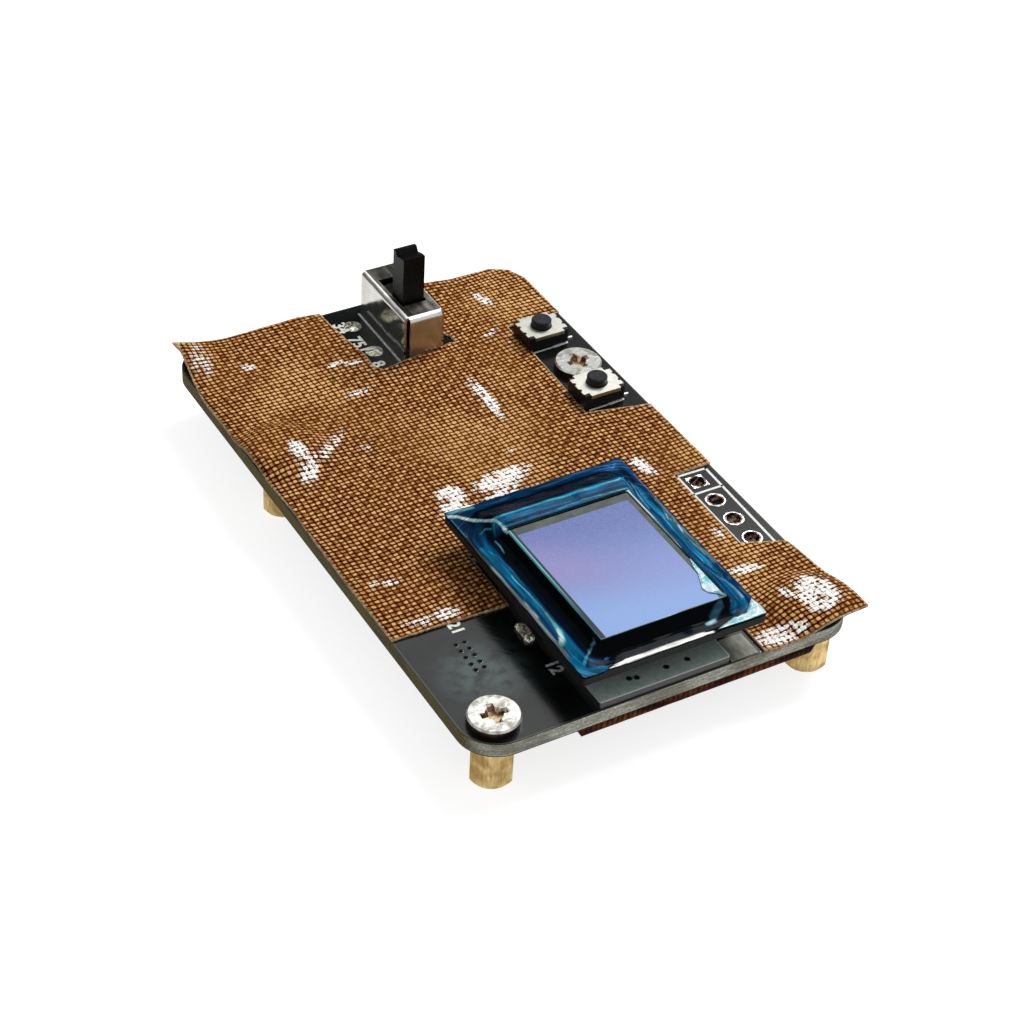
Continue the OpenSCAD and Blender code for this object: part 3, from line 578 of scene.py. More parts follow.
# The cut runs from the front left round to the right, the back and the left, in the board's frame.
tape_cut = [
    (0.02, 12.75), (4.6, 12.62), (9.42, 12.42), (9.5, 18.6), (23.45, 18.7), (23.38, -0.15), (24.5, -0.32),
    (28.1, -0.25), (32.45, -0.05), (32.5, 3.9), (32.25, 7.0), (31.98, 9.46), (28.6, 10.9), (28.62, 20.12),
    (32.06, 20.2), (32.0, 28.97), (26.66, 30.2), (26.86, 34.5), (27.0, 39.06), (26.95, 43.48), (32.0, 43.55),
    (32.0, 49.4), (31.35, 51.1), (29.8, 51.95), (21.05, 52.0), (21.02, 45.7), (21.95, 44.5), (21.93, 43.42),
    (21.43, 43.56), (19.3, 43.25), (16.61, 42.93), (14.72, 42.56), (14.25, 43.3), (14.36, 45.15),
    (13.95, 47.8), (13.71, 50.07), (13.6, 52.05), (11.81, 52.35), (6.0, 52.2), (0.2, 52.15), (0.5, 51.2),
    (0.37, 49.5), (-0.05, 46.2), (-0.17, 44.5), (-0.12, 40.0), (-0.18, 36.0), (-0.06, 33.4), (0.1, 29.4),
    (0.02, 27.0), (-0.04, 20.0)]
# Where it is rubbed white: middle, half length, half width, direction in degrees and strength.
rubs = [
    ((1.7, 49.6), 2.4, 0.9, 80, 0.42), ((5.0, 47.5), 0.6, 0.4, 0, 0.7), ((12.1, 44.72), 1.5, 0.22, -13, 1.1),
    ((11.6, 40.5), 1.7, 0.3, 4, 0.62), ((3.45, 35.2), 1.2, 0.55, 80, 1.0), ((3.3, 32.9), 1.7, 0.62, 66, 1.0),
    ((6.1, 34.9), 2.7, 0.42, 42, 0.62), ((30.25, 3.2), 1.7, 0.95, 96, 1.6),
    ((29.05, 3.0), 2.1, 0.24, 97, 1.1), ((28.45, 3.2), 1.5, 0.18, 100, 1.0), ((29.5, 1.35), 1.2, 0.5, 0, 1.2),
    ((27.9, 3.9), 0.8, 0.3, 100, 0.85), ((20.35, 35.4), 2.7, 0.5, 88, 1.2),
    ((27.1, 48.0), 1.1, 0.45, -72, 1.1), ((25.3, 43.35), 0.8, 0.2, 14, 0.9),
    ((26.13, 41.34), 0.3, 0.2, 0, 0.8), ((11.75, 25.6), 1.0, 1.0, 0, 1.6), ((11.3, 23.6), 1.3, 1.2, 0, 1.5),
    ((16.3, 25.7), 2.5, 0.9, 8, 1.25), ((15.6, 24.1), 1.9, 0.5, 12, 1.1), ((27.0, 22.2), 1.3, 0.5, -80, 1.2),
    ((4.9, 13.65), 1.1, 0.5, -3, 0.95), ((2.6, 13.7), 1.6, 0.4, -8, 0.62), ((2.5, 18.6), 1.2, 0.25, -8, 0.7),
    ((25.3, 0.8), 2.0, 0.75, -4, 1.25), ((27.3, 8.1), 1.3, 0.4, -6, 0.85), ((27.7, 12.5), 0.9, 0.35, 70, 0.7),
    ((8.6, 33.6), 0.5, 0.5, 0, 0.5), ((18.8, 28.4), 0.5, 0.3, 0, 0.5), ((24.6, 22.3), 0.4, 0.3, 0, 0.6)]
hidden_heads, head_reach, head_slope, head_lift = [(29.4, 2.5), (2.6, 36.1)], 1.95, 2.4, 0.72
tape_thick_mm, tape_step = 0.17, 0.42


def clamp(value):
    return min(max(value, 0), 1)


def ease(value):
    """From 0 to 1 with soft ends."""
    share = clamp(value)
    return share * share * (3 - 2 * share)


def peeled(x, y):
    """1 at the rear left corner, which has come up, and 0 from about 5 mm away."""
    return max(0, 1 - math.hypot(x - 0.2, (y - 52.2) * 0.8) / 5.2)


def tape_lift(x, y):
    """How high the tape's lower face stands over the board."""
    lift = 0.012
    for head_x, head_y in hidden_heads:
        away = math.hypot(x - head_x, y - head_y)
        lift = max(lift, head_lift * (1 - ease((away - head_reach) / head_slope)))
    lift = max(lift, 1.05 * peeled(x, y) ** 1.8)
    lift += 0.75 * max(0, 1 - math.hypot(x - 32.6, y + 0.1) / 5.0) ** 1.7
    lift += 0.35 * max(0, 1 - math.hypot(x - 23.2, y - 52.0) / 2.8)
    waves = noise.noise(Vector((x * 0.16, y * 0.16, 3.1))) + 0.5 * noise.noise(Vector((x * 0.5, y * 0.4, 9.0)))
    return lift + 0.05 * max(0, waves)


def from_segment(point, start, end):
    along = end - start
    return (point - start - along * clamp((point - start).dot(along) / along.length_squared)).length


def face_way(bm, way):
    """Turns every face of an open sheet up, 1, or down, -1."""
    for f in bm.faces:
        f.normal_update()
        if f.normal.z * way < 0:
            f.normal_flip()


def thicken(piece, thickness_mm, offset=1.0):
    wall = piece.modifiers.new("thickness", "SOLIDIFY")
    wall.thickness = thickness_mm / 1000
    wall.offset = offset


bm = bmesh.new()
bm.faces.new([bm.verts.new((x, y, 0)) for x, y in tape_cut])
for axis, low, high in ((0, -0.4, 32.8), (1, -0.5, 52.4)):
    for i in range(1, int((high - low) / tape_step)):
        spot, normal = Vector((0, 0, 0)), Vector((0, 0, 0))
        spot[axis] = low + i * tape_step
        normal[axis] = 1
        bmesh.ops.bisect_plane(bm, geom=bm.verts[:] + bm.edges[:] + bm.faces[:], plane_co=spot, plane_no=normal)
rub_layer = bm.verts.layers.float.new("scuff")
cut_layer = bm.verts.layers.float.new("from_cut")
cut_sides = [(Vector(a), Vector(b)) for a, b in zip(tape_cut, tape_cut[1:] + tape_cut[:1])]
for v in bm.verts:
    for middle, half_long, half_wide, direction, strength in rubs:
        turned = Matrix.Rotation(math.radians(-direction), 2) @ (v.co.xy - Vector(middle))
        reach = math.hypot(turned.x / half_long, turned.y / half_wide)
        v[rub_layer] = max(v[rub_layer], strength * clamp((1.3 - reach) / 0.6))
    v[cut_layer] = min(from_segment(v.co.xy, a, b) for a, b in cut_sides)
for v in bm.verts:
    if v.is_boundary:
        fray = noise.noise_vector(Vector((v.co.x * 2.3, v.co.y * 2.3, 0)))
        v.co.x += 0.05 * fray.x
        v.co.y += 0.05 * fray.y
    v.co.z = tape_lift(v.co.x, v.co.y)
    v.co.x += 0.1 * peeled(v.co.x, v.co.y) ** 2
bmesh.ops.triangulate(bm, faces=[f for f in bm.faces if len(f.verts) > 4])
face_way(bm, 1)
top_tape = place_piece("top_tape_cloth", bm, tape_finish, True)
thicken(top_tape, tape_thick_mm)
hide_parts("top_tape")

# A second piece of the same tape is pressed over the chips below the board. It is coloured darker
# all over, and it is cut round the right-hand stand-offs.
lower_finish = make_tape_finish("darker_glass_tape", (138, 78, 44), (88, 38, 18), (30, 8, 3), False)
under_left, under_right, under_front, under_rear = 8.1, 28.3, 0.08, 41.0
board_thick, post_x, post_clear, rim_gap, flat_depth = 1.2, 29.4, 2.1, 0.03, 0.22
# Each chip that it covers: middle, half width and half length.
chips = [(18.2, 5.2, 3.6, 3.6), (14.7, 15.0, 3.1, 2.6), (22.7, 15.0, 1.6, 1.6), (18.2, 20.5, 1.7, 1.35),
         (22.7, 20.5, 1.3, 1.1), (13.0, 4.4, 0.5, 3.2), (23.4, 4.4, 0.5, 3.2), (18.2, 26.0, 5.6, 0.6)]
bm = bmesh.new()
bmesh.ops.create_grid(bm, x_segments=56, y_segments=110, size=0.5, matrix=Matrix.Translation((0.5, 0.5, 0)))
for v in bm.verts:
    y = under_front + v.co.y ** 1.35 * (under_rear - under_front)
    right = under_right
    for post_y in (2.5, 36.1):
        if abs(y - post_y) < post_clear:
            right = min(right, post_x - math.sqrt(post_clear ** 2 - (y - post_y) ** 2))
    x = under_left + v.co.x * (right - under_left)
    depth = 0.98 if y < 1.6 else flat_depth
    for chip_x, chip_y, half_w, half_l in chips:
        away = math.hypot(max(abs(x - chip_x) - half_w, 0), max(abs(y - chip_y) - half_l, 0))
        depth = max(depth, flat_depth + 0.50 * ease(1 - away / 1.5))
    shoulder = clamp(min(x - under_left, right - x, y - under_front, under_rear - y) / 0.22)
    v.co = (x, y, -board_thick - rim_gap - (depth - rim_gap) * math.sqrt(1 - (1 - shoulder) ** 2)
            - 0.02 * noise.noise(Vector((x, y, 0))))
face_way(bm, -1)
under_tape = place_piece("bottom_tape_cloth", bm, lower_finish, True)
thicken(under_tape, 0.1, -1.0)
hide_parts("bottom_tape")

# ---------------------------------------------------------------- display
# A flat adapter board lies on the main board under the display. Its mask is grey green with a painted
# highlight along the front and the right, its edge is black, partly as painted shade under the display,
# and it carries the socket.
adapter_mask = Finish("adapter_mask", 0.0, 0.3)
place = adapter_mask.place
x, y, z = axes(place)
face = tint(grain(place, 0.35, 0.3, 0.7, 5.0), (158, 176, 170), (176, 194, 187))
# A painted highlight along the front and right edges.
face = tint(calc("MAXIMUM", y < -0.01910, x > 0.00446), face, (222, 232, 226))
adapter_mask.dress(tint(z < 0.00579, face, (12, 13, 12)), height=grain(place, 0.2), depth_mm=0.004)
adapter_mask.paint("display_adapter")

# The board-to-board connector joins adapter and carrier: a cream socket with gilt contacts, and a
# black plug.
cream = two_tone("cream_nylon", 0.0, 0.5, (0.5,), (206, 192, 160), (224, 212, 184), (0.15,), 0.01)
cream.paint("display_socket")
gilt = two_tone("gilt", 1.0, 0.25, (0.4,), (222, 184, 104), (196, 154, 78), (0.2,), 0.004)
gilt.paint("socket_contacts", "switch_clip", "button_rear_dome", "button_front_dome")
black_nylon = two_tone("black_nylon", 0.0, 0.45, (0.3,), (18, 18, 19), (34, 35, 36), (0.08,), 0.012)
black_nylon.paint("display_plug", "switch_base")

# The carrier is a small black board with a matt, fibrous cut edge.
carrier_fibres = (0.2, 0.35, 0.65, 4.0, (1, 1, 3))
carrier_finish = two_tone("carrier_board", 0.0, 0.42, carrier_fibres, (6, 6, 6), (20, 19, 18), carrier_fibres,
                          0.015, {"Specular IOR Level": 0.12})
carrier_finish.paint("display_carrier")

# The die is polished silicon, and black epoxy covers the bond wires behind it.
silicon = Finish("silicon", 0.3, 0.2)
silicon.dress(tint(grain(silicon.place, 0.8), (74, 84, 80), (96, 104, 98)))
silicon.paint("display_die")
epoxy = two_tone("black_epoxy", 0.0, 0.15, (1.2,), (8, 8, 10), (18, 19, 23), (1.0, 0.2, 0.8, 1.0), 0.05)
epoxy.paint("bond_bead")

# The cover glass shows the unlit picture area through it, coloured as a painted reflection: lavender
# that turns blue towards the front, with a slanted violet band, inside a grey green border that is
# widest at the back and dark with a cyan line at the left.
glass_finish = Finish("display_glass", 0.0, 0.06, {"IOR": 1.5})
place = glass_finish.place
x, y, z = axes(place)
picture = tint(ramp(y, -0.0160, -0.0045), (138, 170, 224), (98, 112, 172))
slanted_y = y + x * 0.45
violet_reflection = ramp(abs(slanted_y + 0.0106), 0.0050, 0.0) * (0.3 + ramp(x, 0.0030, -0.0050) * 0.5)
picture = tint(violet_reflection, picture, (146, 134, 190))
picture = tint(grain(place, 0.12, 0.3, 0.7, 4.0) * 0.16, picture, (176, 184, 236))
border = tint(grain(place, 0.9), (68, 76, 72), (86, 94, 86))
border = tint(x < -0.00456, border, (22, 44, 52))
border = tint(near(x, -0.00484, 0.00006) * ramp(y, -0.0150, -0.0080), border, (104, 186, 190))
in_picture = near(x, 0.00014, 0.00472) * near(y, -0.01046, 0.00624)
glass_finish.dress(tint(z > 0.00918, (40, 104, 122), tint(in_picture, border, picture)))
glass_finish.paint("cover_glass")

# ---------------------------------------------------------------- protective film
# Blue film was stretched over the display and torn open over the glass. What is left clings to the
# sides of the glass and runs out over the carrier, glossy and creased, with pulled corners. Its
# highlights and reflections, and the shade on its walls and in its creases, are painted into its colour.
film_finish = Finish("blue_film", 0.0, 0.16, {"Specular IOR Level": 0.01, "Coat Weight": 0.03,
                                              "Coat Roughness": 0.05})
tree = film_finish.tree
unrolled = Amount(add_node(tree, "UVMap", uv_map="unrolled").outputs["UV"])
along_film = add_node(tree, "Mapping", {"Vector": unrolled, "Scale": (0.30, 4.5, 1)})
pulled = Amount(add_node(tree, "TexNoise", {"Vector": along_film, "Scale": 1.0, "Detail": 4.0}).outputs["Fac"])
streaks = ramp(pulled, 0.42, 0.66)
thickness = (0.55 + streaks * 0.6) * (0.8 + grain(film_finish.place, 1.6) * 0.4)
bands = attribute(tree, "band", "Color")
banded = add_node(tree, "VectorMath", {0: bands, "Scale": thickness}, operation="SCALE")
haze = attribute(tree, "pale") * ramp(pulled, 0.54, 0.62)
crinkle = grain(film_finish.place, 0.9, 0.2, 0.8, 2.0)
film_finish.dress(tint(haze, Amount(banded.outputs[0]), (120, 146, 152)),
                  height=crinkle * 0.6 + streaks * 0.2, depth_mm=0.02)

# Each side's width, and its way out from the glass: share of the width, height over the board, and
# the colour that is seen, with painted shade on the steep walls by the glass and a painted highlight
# along the back ridge. The share goes past 1 only at the corners, which are pulled out flat.
black, navy, deep, blue, teal = (0, 2, 4), (1, 17, 34), (2, 55, 94), (4, 92, 140), (14, 126, 168)
cyan, ice = (84, 200, 216), (178, 220, 226)
film_sides = {
    "front": (2.0, (0.0, 4.06, ice), (0.03, 4.04, black), (0.2, 3.6, black), (0.42, 3.25, black),
        (0.55, 3.16, (1, 10, 20)), (0.72, 3.1, navy), (0.86, 3.06, black), (1.0, 3.05, black),
        (1.25, 3.05, deep), (2.2, 3.05, blue)),
    "right": (2.3, (0.0, 4.06, ice), (0.03, 4.05, (70, 96, 100)), (0.06, 4.03, black), (0.14, 3.78, black),
        (0.17, 3.7, (90, 150, 170)), (0.2, 3.6, deep), (0.34, 3.32, blue), (0.44, 3.2, deep),
        (0.58, 3.12, blue), (0.68, 3.1, teal), (0.78, 3.08, deep), (1.0, 3.05, deep), (1.3, 3.08, blue),
        (2.2, 3.08, blue)),
    "back": (4.7, (0.0, 4.04, (24, 46, 52)), (0.03, 4.03, black), (0.05, 4.04, deep), (0.08, 4.07, blue),
        (0.13, 4.15, deep), (0.19, 4.23, blue), (0.24, 4.28, blue), (0.262, 4.3, teal), (0.276, 4.3, cyan),
        (0.288, 4.29, teal), (0.315, 4.26, blue), (0.34, 4.19, deep), (0.36, 4.15, (4, 22, 36)),
        (0.42, 4.02, (6, 18, 32)), (0.62, 3.52, (6, 28, 50)), (0.76, 3.2, (4, 16, 30)), (0.82, 3.12, black),
        (0.86, 3.08, deep), (0.94, 3.06, deep), (1.0, 3.05, deep), (1.2, 3.1, deep), (2.2, 3.1, deep)),
    "left": (2.58, (0.0, 4.06, cyan), (0.02, 4.04, black), (0.07, 3.9, black), (0.2, 3.55, black),
        (0.36, 3.26, (0, 12, 24)), (0.47, 3.18, navy), (0.51, 3.15, deep), (0.6, 3.12, blue),
        (0.72, 3.1, deep), (0.86, 3.09, deep), (0.92, 3.06, navy), (0.96, 3.05, (70, 84, 88)),
        (1.0, 3.05, (30, 42, 48)), (1.3, 3.08, deep), (2.2, 3.1, deep))
}
side_haze = {"front": 0.0, "right": 0.5, "back": 0.1, "left": 0.25}
# Painted highlights and reflections, creases with painted shade, and pulled places: where they run,
# half width at start and end, colour and strength. The glare along the front is a painted reflection,
# brighter than paper.
grey, pale_highlight, glare = (128, 144, 146), (214, 228, 226), (281, 281, 276.4)
film_strokes = [
    ([(11.6, 16.26), (14.2, 16.3), (15.0, 16.26)], 0.025, 0.035, (30, 120, 150), 0.7),
    ([(15.6, 16.34), (17.8, 16.44), (20.7, 16.28), (21.5, 16.2)], 0.03, 0.05, (84, 186, 204), 0.85),
    ([(11.4, 16.62), (14.0, 16.7), (16.8, 16.6)], 0.03, 0.03, (40, 130, 160), 0.7),
    ([(11.3, 17.22), (14.2, 17.26), (17.0, 17.18), (20.2, 17.24), (21.3, 17.1), (22.0, 17.7), (22.5, 18.3)],
     0.04, 0.06, (96, 204, 218), 0.8),
    ([(20.8, 17.45), (21.5, 17.5), (22.2, 18.2)], 0.12, 0.1, (6, 70, 104), 0.8),
    ([(22.3, 20.1), (23.0, 20.2), (23.6, 20.0), (23.7, 18.6)], 0.4, 0.3, (14, 88, 158), 0.9),
    ([(23.0, 19.4), (23.2, 18.4), (23.1, 17.6)], 0.22, 0.12, (2, 22, 44), 0.8),
    ([(19.4, 20.5), (20.4, 20.4), (21.2, 20.2), (22.0, 20.1)], 0.12, 0.2, (10, 76, 136), 0.85),
    ([(22.3, 20.15), (22.6, 19.85), (23.0, 20.25)], 0.06, 0.06, (80, 160, 196), 0.8),
    ([(10.5, 19.5), (10.1, 18.7), (9.9, 18.2)], 0.1, 0.06, (2, 5, 8), 0.9),
    ([(9.3, 19.1), (9.1, 18.3), (9.2, 17.6)], 0.42, 0.3, (2, 40, 76), 0.8),
    ([(8.7, 20.5), (9.6, 20.45), (10.6, 20.3)], 0.22, 0.12, (110, 170, 186), 0.8),
    ([(8.45, 20.1), (9.0, 19.9), (9.5, 19.45), (9.85, 18.9), (10.05, 18.35)],
     0.15, 0.17, (176, 206, 208), 0.9),
    ([(9.25, 19.75), (9.65, 19.25), (9.9, 18.8)], 0.13, 0.12, pale_highlight, 0.9),
    ([(10.12, 18.2), (10.3, 17.7), (10.65, 17.2), (10.85, 16.6), (10.96, 15.6)],
     0.12, 0.1, (170, 212, 214), 0.9),
    ([(21.5, 15.8), (21.55, 12.5)], 0.24, 0.2, (214, 224, 228), 0.9),
    ([(21.55, 12.5), (21.6, 9.3)], 0.2, 0.12, (160, 178, 186), 0.75),
    ([(21.5, 8.2), (21.5, 3.2)], 0.36, 0.36, (3, 42, 76), 0.95),
    ([(10.35, 17.6), (10.6, 17.1)], 0.1, 0.1, (170, 214, 216), 0.8),
    ([(10.6, 18.35), (10.8, 17.9), (11.2, 17.5)], 0.28, 0.12, (2, 10, 18), 0.85),
    ([(9.5, 17.1), (9.95, 17.15), (10.25, 16.75)], 0.05, 0.05, (60, 150, 190), 0.85),
    ([(10.1, 15.9), (10.12, 15.2), (10.05, 14.6)], 0.05, 0.05, (80, 170, 205), 0.8),
    ([(8.5, 19.6), (8.52, 18.6), (8.56, 17.5)], 0.05, 0.05, (70, 150, 190), 0.8),
    ([(8.95, 15.7), (9.0, 14.2), (9.1, 12.5), (9.25, 10.5), (9.35, 8.6), (9.4, 7.0), (9.36, 5.7), (9.25, 4.6),
      (8.95, 2.8)], 0.24, 0.34, (12, 104, 142), 0.9),
    ([(9.2, 15.4), (9.5, 14.4), (9.62, 12.5), (9.6, 10.8)], 0.04, 0.04, (60, 140, 170), 0.7),
    ([(9.36, 12.1), (9.42, 10.1), (9.5, 8.4), (9.52, 6.6)], 0.04, 0.06, (90, 176, 196), 0.8),
    ([(9.5, 7.6), (9.46, 6.4), (9.38, 5.4), (9.2, 4.7), (8.85, 4.3)], 0.07, 0.22, (120, 190, 198), 0.9),
    ([(9.35, 5.6), (9.2, 4.9), (8.95, 4.5)], 0.12, 0.17, (200, 226, 222), 0.95),
    ([(8.55, 13.6), (8.6, 11.4), (8.62, 9.4), (8.62, 7.4), (8.6, 5.5), (8.58, 3.7), (8.55, 2.5)],
     0.09, 0.12, grey, 0.75),
    ([(8.75, 9.2), (8.72, 8.4), (8.76, 7.4)], 0.05, 0.07, (176, 190, 184), 0.7),
    ([(10.7, 2.95), (10.2, 2.6), (9.6, 2.2), (9.2, 1.8), (8.8, 1.5)], 0.07, 0.14, (74, 140, 160), 0.85),
    ([(8.65, 2.4), (8.7, 1.1), (9.5, 0.85), (10.2, 0.8)], 0.5, 0.28, (8, 108, 152), 0.9),
    ([(10.75, 1.55), (10.9, 1.55)], 0.09, 0.09, (30, 104, 180), 0.9),
    ([(20.9, 1.2), (20.9, 2.0), (21.6, 2.6)], 0.1, 0.16, (2, 8, 14), 0.8),
    ([(21.4, 1.7), (22.1, 2.6), (22.4, 3.6)], 0.22, 0.18, (10, 84, 124), 0.7),
    ([(19.7, 1.7), (20.3, 2.1), (20.7, 2.3)], 0.26, 0.2, (54, 96, 124), 0.75),
    ([(19.15, 1.42), (19.7, 1.45)], 0.14, 0.16, (150, 198, 212), 0.9),
    ([(19.3, 1.4), (19.5, 1.42)], 0.08, 0.08, (214, 232, 236), 0.9),
    ([(10.6, 0.6), (11.1, 0.7), (12.0, 0.74)], 0.03, 0.17, glare, 1.0),
    ([(12.0, 0.74), (15.0, 0.75), (18.3, 0.73)], 0.19, 0.19, glare, 1.0),
    ([(18.3, 0.72), (19.1, 0.62)], 0.17, 0.04, glare, 1.0),
    ([(22.5, 17.6), (22.45, 16.0), (22.35, 14.4)], 0.05, 0.08, (110, 186, 204), 0.75),
    ([(22.75, 16.9), (22.7, 15.2), (22.6, 13.2)], 0.05, 0.04, (60, 140, 176), 0.7),
    ([(22.75, 13.5), (22.65, 11.3), (22.6, 9.0), (22.58, 7.3)], 0.04, 0.04, (90, 160, 190), 0.7),
    ([(23.5, 15.3), (23.3, 13.3), (23.25, 10.7), (23.3, 8.8), (23.5, 7.2)], 0.12, 0.26, (92, 118, 128), 0.85),
    ([(23.2, 13.3), (23.05, 12.8), (23.3, 12.4)], 0.06, 0.05, (168, 190, 198), 0.8),
    ([(23.3, 11.7), (23.2, 11.1)], 0.07, 0.07, (196, 220, 230), 0.8),
    ([(23.15, 9.6), (23.3, 8.9), (23.2, 8.0)], 0.05, 0.07, (150, 176, 186), 0.75),
    ([(22.4, 7.4), (22.7, 6.1), (22.9, 5.3)], 0.1, 0.08, (2, 30, 60), 0.8),
    ([(22.1, 7.6), (22.3, 6.6), (22.55, 5.6), (22.7, 4.9)], 0.05, 0.06, (60, 140, 176), 0.75),
    ([(22.8, 5.3), (22.95, 4.5), (23.05, 3.6), (23.0, 2.8)], 0.05, 0.16, (112, 166, 196), 0.7),
    ([(23.58, 18.4), (23.58, 17.0), (23.58, 15.4)], 0.05, 0.04, (150, 128, 192), 0.7),
]


def linear(colour):
    return Vector(srgb(*colour))


def film_at(side, share):
    """The film's height and colour at a share of the way out."""
    stops = film_sides[side][1:]
    for (a, height_a, colour_a), (b, height_b, colour_b) in zip(stops, stops[1:]):
        if share <= b:
            t = max(share - a, 0) / (b - a)
            return height_a + (height_b - height_a) * t, linear(colour_a).lerp(linear(colour_b), t)
    return stops[-1][1], linear(stops[-1][2])


# The skirt is one strip of columns that runs round the glass from its front left corner. Each column
# starts at the glass and ends at the carrier's rim, and the columns fan out at the corners.
glass_corners = [Vector((10.98, 2.58)), Vector((21.32, 2.58)), Vector((21.32, 15.9)), Vector((10.98, 15.9))]
rim_low, rim_high = Vector((8.40, 0.56)), Vector((23.66, 20.60))
outward = [Vector((0, -1)), Vector((1, 0)), Vector((0, 1)), Vector((-1, 0))]
side_columns, film_rows, corner_run, carrier_top = 60, 60, 3.0, 3.02
side_names = list(film_sides)
film_columns = []
run = 0.0
for i, name in enumerate(side_names):
    start, end, following = glass_corners[i], glass_corners[(i + 1) % 4], side_names[(i + 1) % 4]
    length = (end - start).length
    for k in range(side_columns + 1):
        share = k / side_columns
        film_columns.append((start.lerp(end, share), outward[i], name, name, 0.0, run + length * share))
    run += length
    for k in range(1, side_columns):
        share = k / side_columns
        angle = math.pi / 2 * share
        way = outward[i] * math.cos(angle) + outward[(i + 1) % 4] * math.sin(angle)
        film_columns.append((end, way, name, following, angle, run + corner_run * share))
    run += corner_run
bm = bmesh.new()
bmesh.ops.create_grid(bm, x_segments=len(film_columns), y_segments=film_rows, size=0.5,
                      matrix=Matrix.Translation((0.5, 0.5, 0)))
band_layer = bm.verts.layers.float_color.new("band")
pale_layer = bm.verts.layers.float.new("pale")
uv_layer = bm.loops.layers.uv.new("unrolled")
unrolled_spots = {}
for v in bm.verts:
    column = round(v.co.x * len(film_columns))
    start, way, name, following, angle, along = film_columns[column % len(film_columns)]
    along += run if column == len(film_columns) else 0
    reach = min([(rim_high[a] - start[a]) / way[a] for a in (0, 1) if way[a] > 1e-6]
                + [(rim_low[a] - start[a]) / way[a] for a in (0, 1) if way[a] < -1e-6])
    out = reach * v.co.y ** 1.25
    share = out * math.hypot(math.cos(angle) / film_sides[name][0], math.sin(angle) / film_sides[following][0])
    height, colour = film_at(name, share)
    if angle:
        other_height, other_colour = film_at(following, share)
        mix = math.sin(angle) ** 2
        height, colour = height + (other_height - height) * mix, colour.lerp(other_colour, mix)
    spot = start + way * out
    wobble = Vector((noise.noise(Vector((spot.x * 0.8, spot.y * 0.8, 5))),
                     noise.noise(Vector((spot.x * 0.8, 7, spot.y * 0.8)))))
    spot += wobble * 0.08 * min(share * 1.6, 1)
    height += 0.12 * noise.noise(Vector((spot.x * 0.7, spot.y * 0.7, 2.0))) * math.sin(math.pi * min(share, 1))
    if name == "right" and not angle:
        height += 0.10 * share * noise.noise(Vector((spot.x * 3, spot.y * 1.6, 4.0)))
    height += 0.10 * max(share - 1, 0)
    v[pale_layer] = side_haze[name] * clamp((share - 0.78) / 0.12)
    for points, start_width, end_width, stroke_colour, strength in film_strokes:
        if not min(p[0] for p in points) - 0.7 < spot.x < max(p[0] for p in points) + 0.7:
            continue
        inside = 0.0
        for k, (a, b) in enumerate(zip(points, points[1:])):
            wide = start_width + (end_width - start_width) * (k + 0.5) / (len(points) - 1)
            inside = max(inside, (1.35 - from_segment(spot, Vector(a), Vector(b)) / wide) / 0.7)
        colour = colour.lerp(linear(stroke_colour), strength * ease(inside))
    v[band_layer] = colour
    v.co = (spot.x, spot.y, max(height, carrier_top))
    unrolled_spots[v] = (along, out)
for f in bm.faces:
    for loop in f.loops:
        loop[uv_layer].uv = unrolled_spots[loop.vert]
bmesh.ops.remove_doubles(bm, verts=bm.verts[:], dist=0.0005)
bmesh.ops.recalc_face_normals(bm, faces=bm.faces[:])
if sum(f.normal.z for f in bm.faces) < 0:
    bmesh.ops.reverse_faces(bm, faces=bm.faces[:])
film = place_piece("film_skirt", bm, film_finish, True)
thicken(film, 0.05)
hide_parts("protective_film")

# Two torn scraps of the film are left on the glass and at the front right corner.
scrap_finish = two_tone("pale_film", 0.0, 0.12, (0.8, 0.38, 0.6, 3.0), (96, 186, 200), (206, 226, 232),
                        (0.5, 0.2, 0.8), 0.08, {"Coat Weight": 0.5})
glass_scrap = [(21.30, 7.3), (20.98, 6.3), (20.92, 5.7), (20.5, 4.6), (20.25, 4.0), (20.42, 3.45), (20.9, 3.1),
               (21.30, 2.62)]
corner_scrap = [(19.5, 0.66), (20.4, 0.95), (21.3, 1.25), (22.3, 1.2), (23.0, 1.9), (23.5, 2.4), (23.66, 1.4),
                (23.6, 0.62), (21.6, 0.56)]
bm = bmesh.new()
for outline, height in ((glass_scrap, 4.03), (corner_scrap, 3.13)):
    bm.faces.new([bm.verts.new((x, y, height)) for x, y in outline])
bmesh.ops.triangulate(bm, faces=bm.faces[:])
bmesh.ops.subdivide_edges(bm, edges=bm.edges[:], cuts=4, use_grid_fill=True)
for v in bm.verts:
    v.co.z += 0.05 * max(0, noise.noise(Vector((v.co.x * 2, v.co.y * 2, 0))))
face_way(bm, 1)
scraps = place_piece("film_scraps", bm, scrap_finish, True)
thicken(scraps, 0.03)

# ---------------------------------------------------------------- slide switch
# The switch's can is folded from thin nickel-plated steel. The top is dull and streaked from the
# roll, the folds are matt and painted white as highlights where they catch the light, and the walls
# are bright.
nickel = Finish("folded_nickel", 1.0, 0.12)
place = nickel.place
x, y, z = axes(place)
can_low, can_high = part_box("switch_can")
on_top = z > 0.00898
rolled = grain(place, 0.5, 0.35, 0.65, 5.0, (1, 0.12, 1))
on_fold = calc("MAXIMUM", x < can_low.x + 0.00040, y < can_low.y + 0.00052)
on_fold = calc("MAXIMUM", on_fold, x > can_high.x - 0.00016) * on_top
top_tone = tint(on_fold, tint(rolled, (136, 132, 122), (222, 218, 208)), (250, 249, 244))
wall_tone = tint(grain(place, 1.4, 0.35, 0.7, 2.0), (196, 195, 190), (178, 176, 168))
front_wall = y < can_low.y + 0.00010
nickel.dress(tint(on_top, wall_tone, top_tone), 0.15 + on_top * 0.08 + on_fold * 0.35 + front_wall * 0.13,
             grain(place, 2.2, 0.2, 0.8, 1.0) + rolled * 0.03, 0.05)
nickel.paint("switch_can")

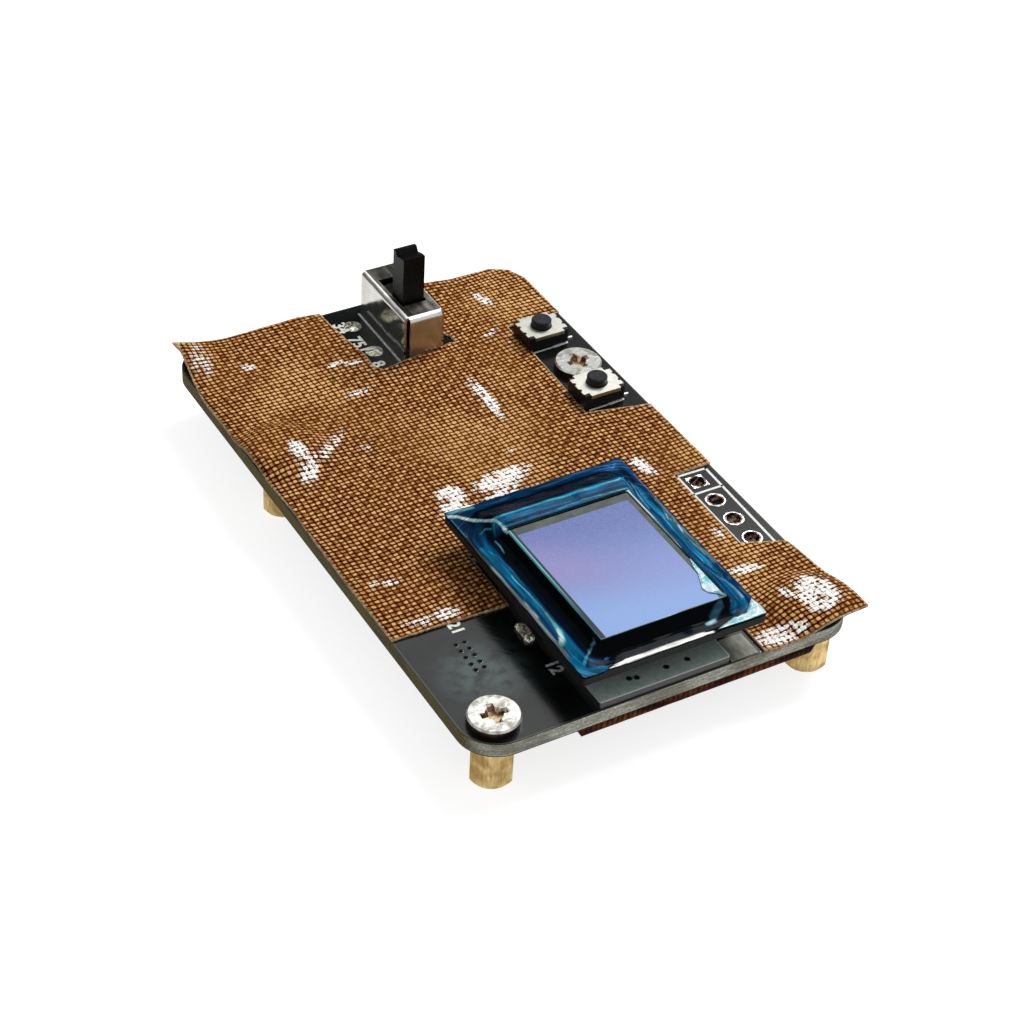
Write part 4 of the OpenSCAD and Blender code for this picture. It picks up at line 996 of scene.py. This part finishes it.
# The knob and its slider are one black moulding with a fine moulded grain.
knob_black = two_tone("knob_moulding", 0.0, 0.34, (0.25,), (2, 2, 2), (8, 8, 8), (0.09, 0.3, 0.7), 0.012,
                      {"Specular IOR Level": 0.08})
knob_black.paint("switch_knob")

# Its three terminals are tinned strip.
bright_tin = two_tone("bright_tin", 1.0, 0.26, (0.4,), (226, 226, 222), (198, 198, 192), (0.3,), 0.01)
bright_tin.paint("switch_terminals", "button_rear_leads", "button_front_leads")

# ---------------------------------------------------------------- push buttons
# Each button is a black moulded body under a stamped cover of pale matt nickel. The cover is dead
# flat, and its cut lip is painted khaki and darker, as shade on its sides.
pale_nickel = Finish("pale_nickel", 1.0, 0.4)
place = pale_nickel.place
on_lip = axes(place)[2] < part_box("button_rear_cover")[1].z - 0.00004
stamped_tone = tint(grain(place, 0.5, 0.3, 0.7, 4.0), (208, 208, 200), (194, 194, 185))
pale_nickel.dress(tint(on_lip, stamped_tone, (152, 142, 106)), height=grain(place, 0.9), depth_mm=0.004)
flat_normal = add_node(pale_nickel.tree, "NewGeometry").outputs["True Normal"]
set_input(pale_nickel.bump.inputs["Normal"], Amount(flat_normal))
pale_nickel.paint("button_rear_cover", "button_front_cover")
body_black = two_tone("button_moulding", 0.0, 0.4, (0.3,), (7, 7, 8), (16, 16, 18), (0.1,), 0.012,
                      {"Specular IOR Level": 0.2})
body_black.paint("button_rear_body", "button_front_body")

# The plungers are turned from dark grey plastic, and finger use has dulled their tops.
plunger_grey = Finish("plunger_moulding", 0.0, 0.42, {"Specular IOR Level": 0.15})
place = plunger_grey.place
dulled = tint(grain(place, 0.5), (22, 24, 27), (40, 42, 46))
plunger_grey.dress(tint(ramp(axes(place)[2], 0.00715, 0.00726), (8, 9, 10), dulled), height=grain(place, 0.12),
                   depth_mm=0.015)
plunger_grey.paint("button_rear_plunger", "button_front_plunger")

# The leads' ends are soldered to the board on the right, in small bright fillets.
bm = bmesh.new()
for y in (40.95, 32.0):
    for side in (-0.85, 0.85):
        bmesh.ops.create_icosphere(bm, subdivisions=2, radius=1, matrix=Matrix.Translation(
            (30.98, y + side, 0.02)) @ Matrix.Diagonal((0.36, 0.13, 0.12, 1)))
for v in bm.verts:
    v.co.z = max(v.co.z, 0.003)
place_piece("button_fillets", bm, bright_tin, True)
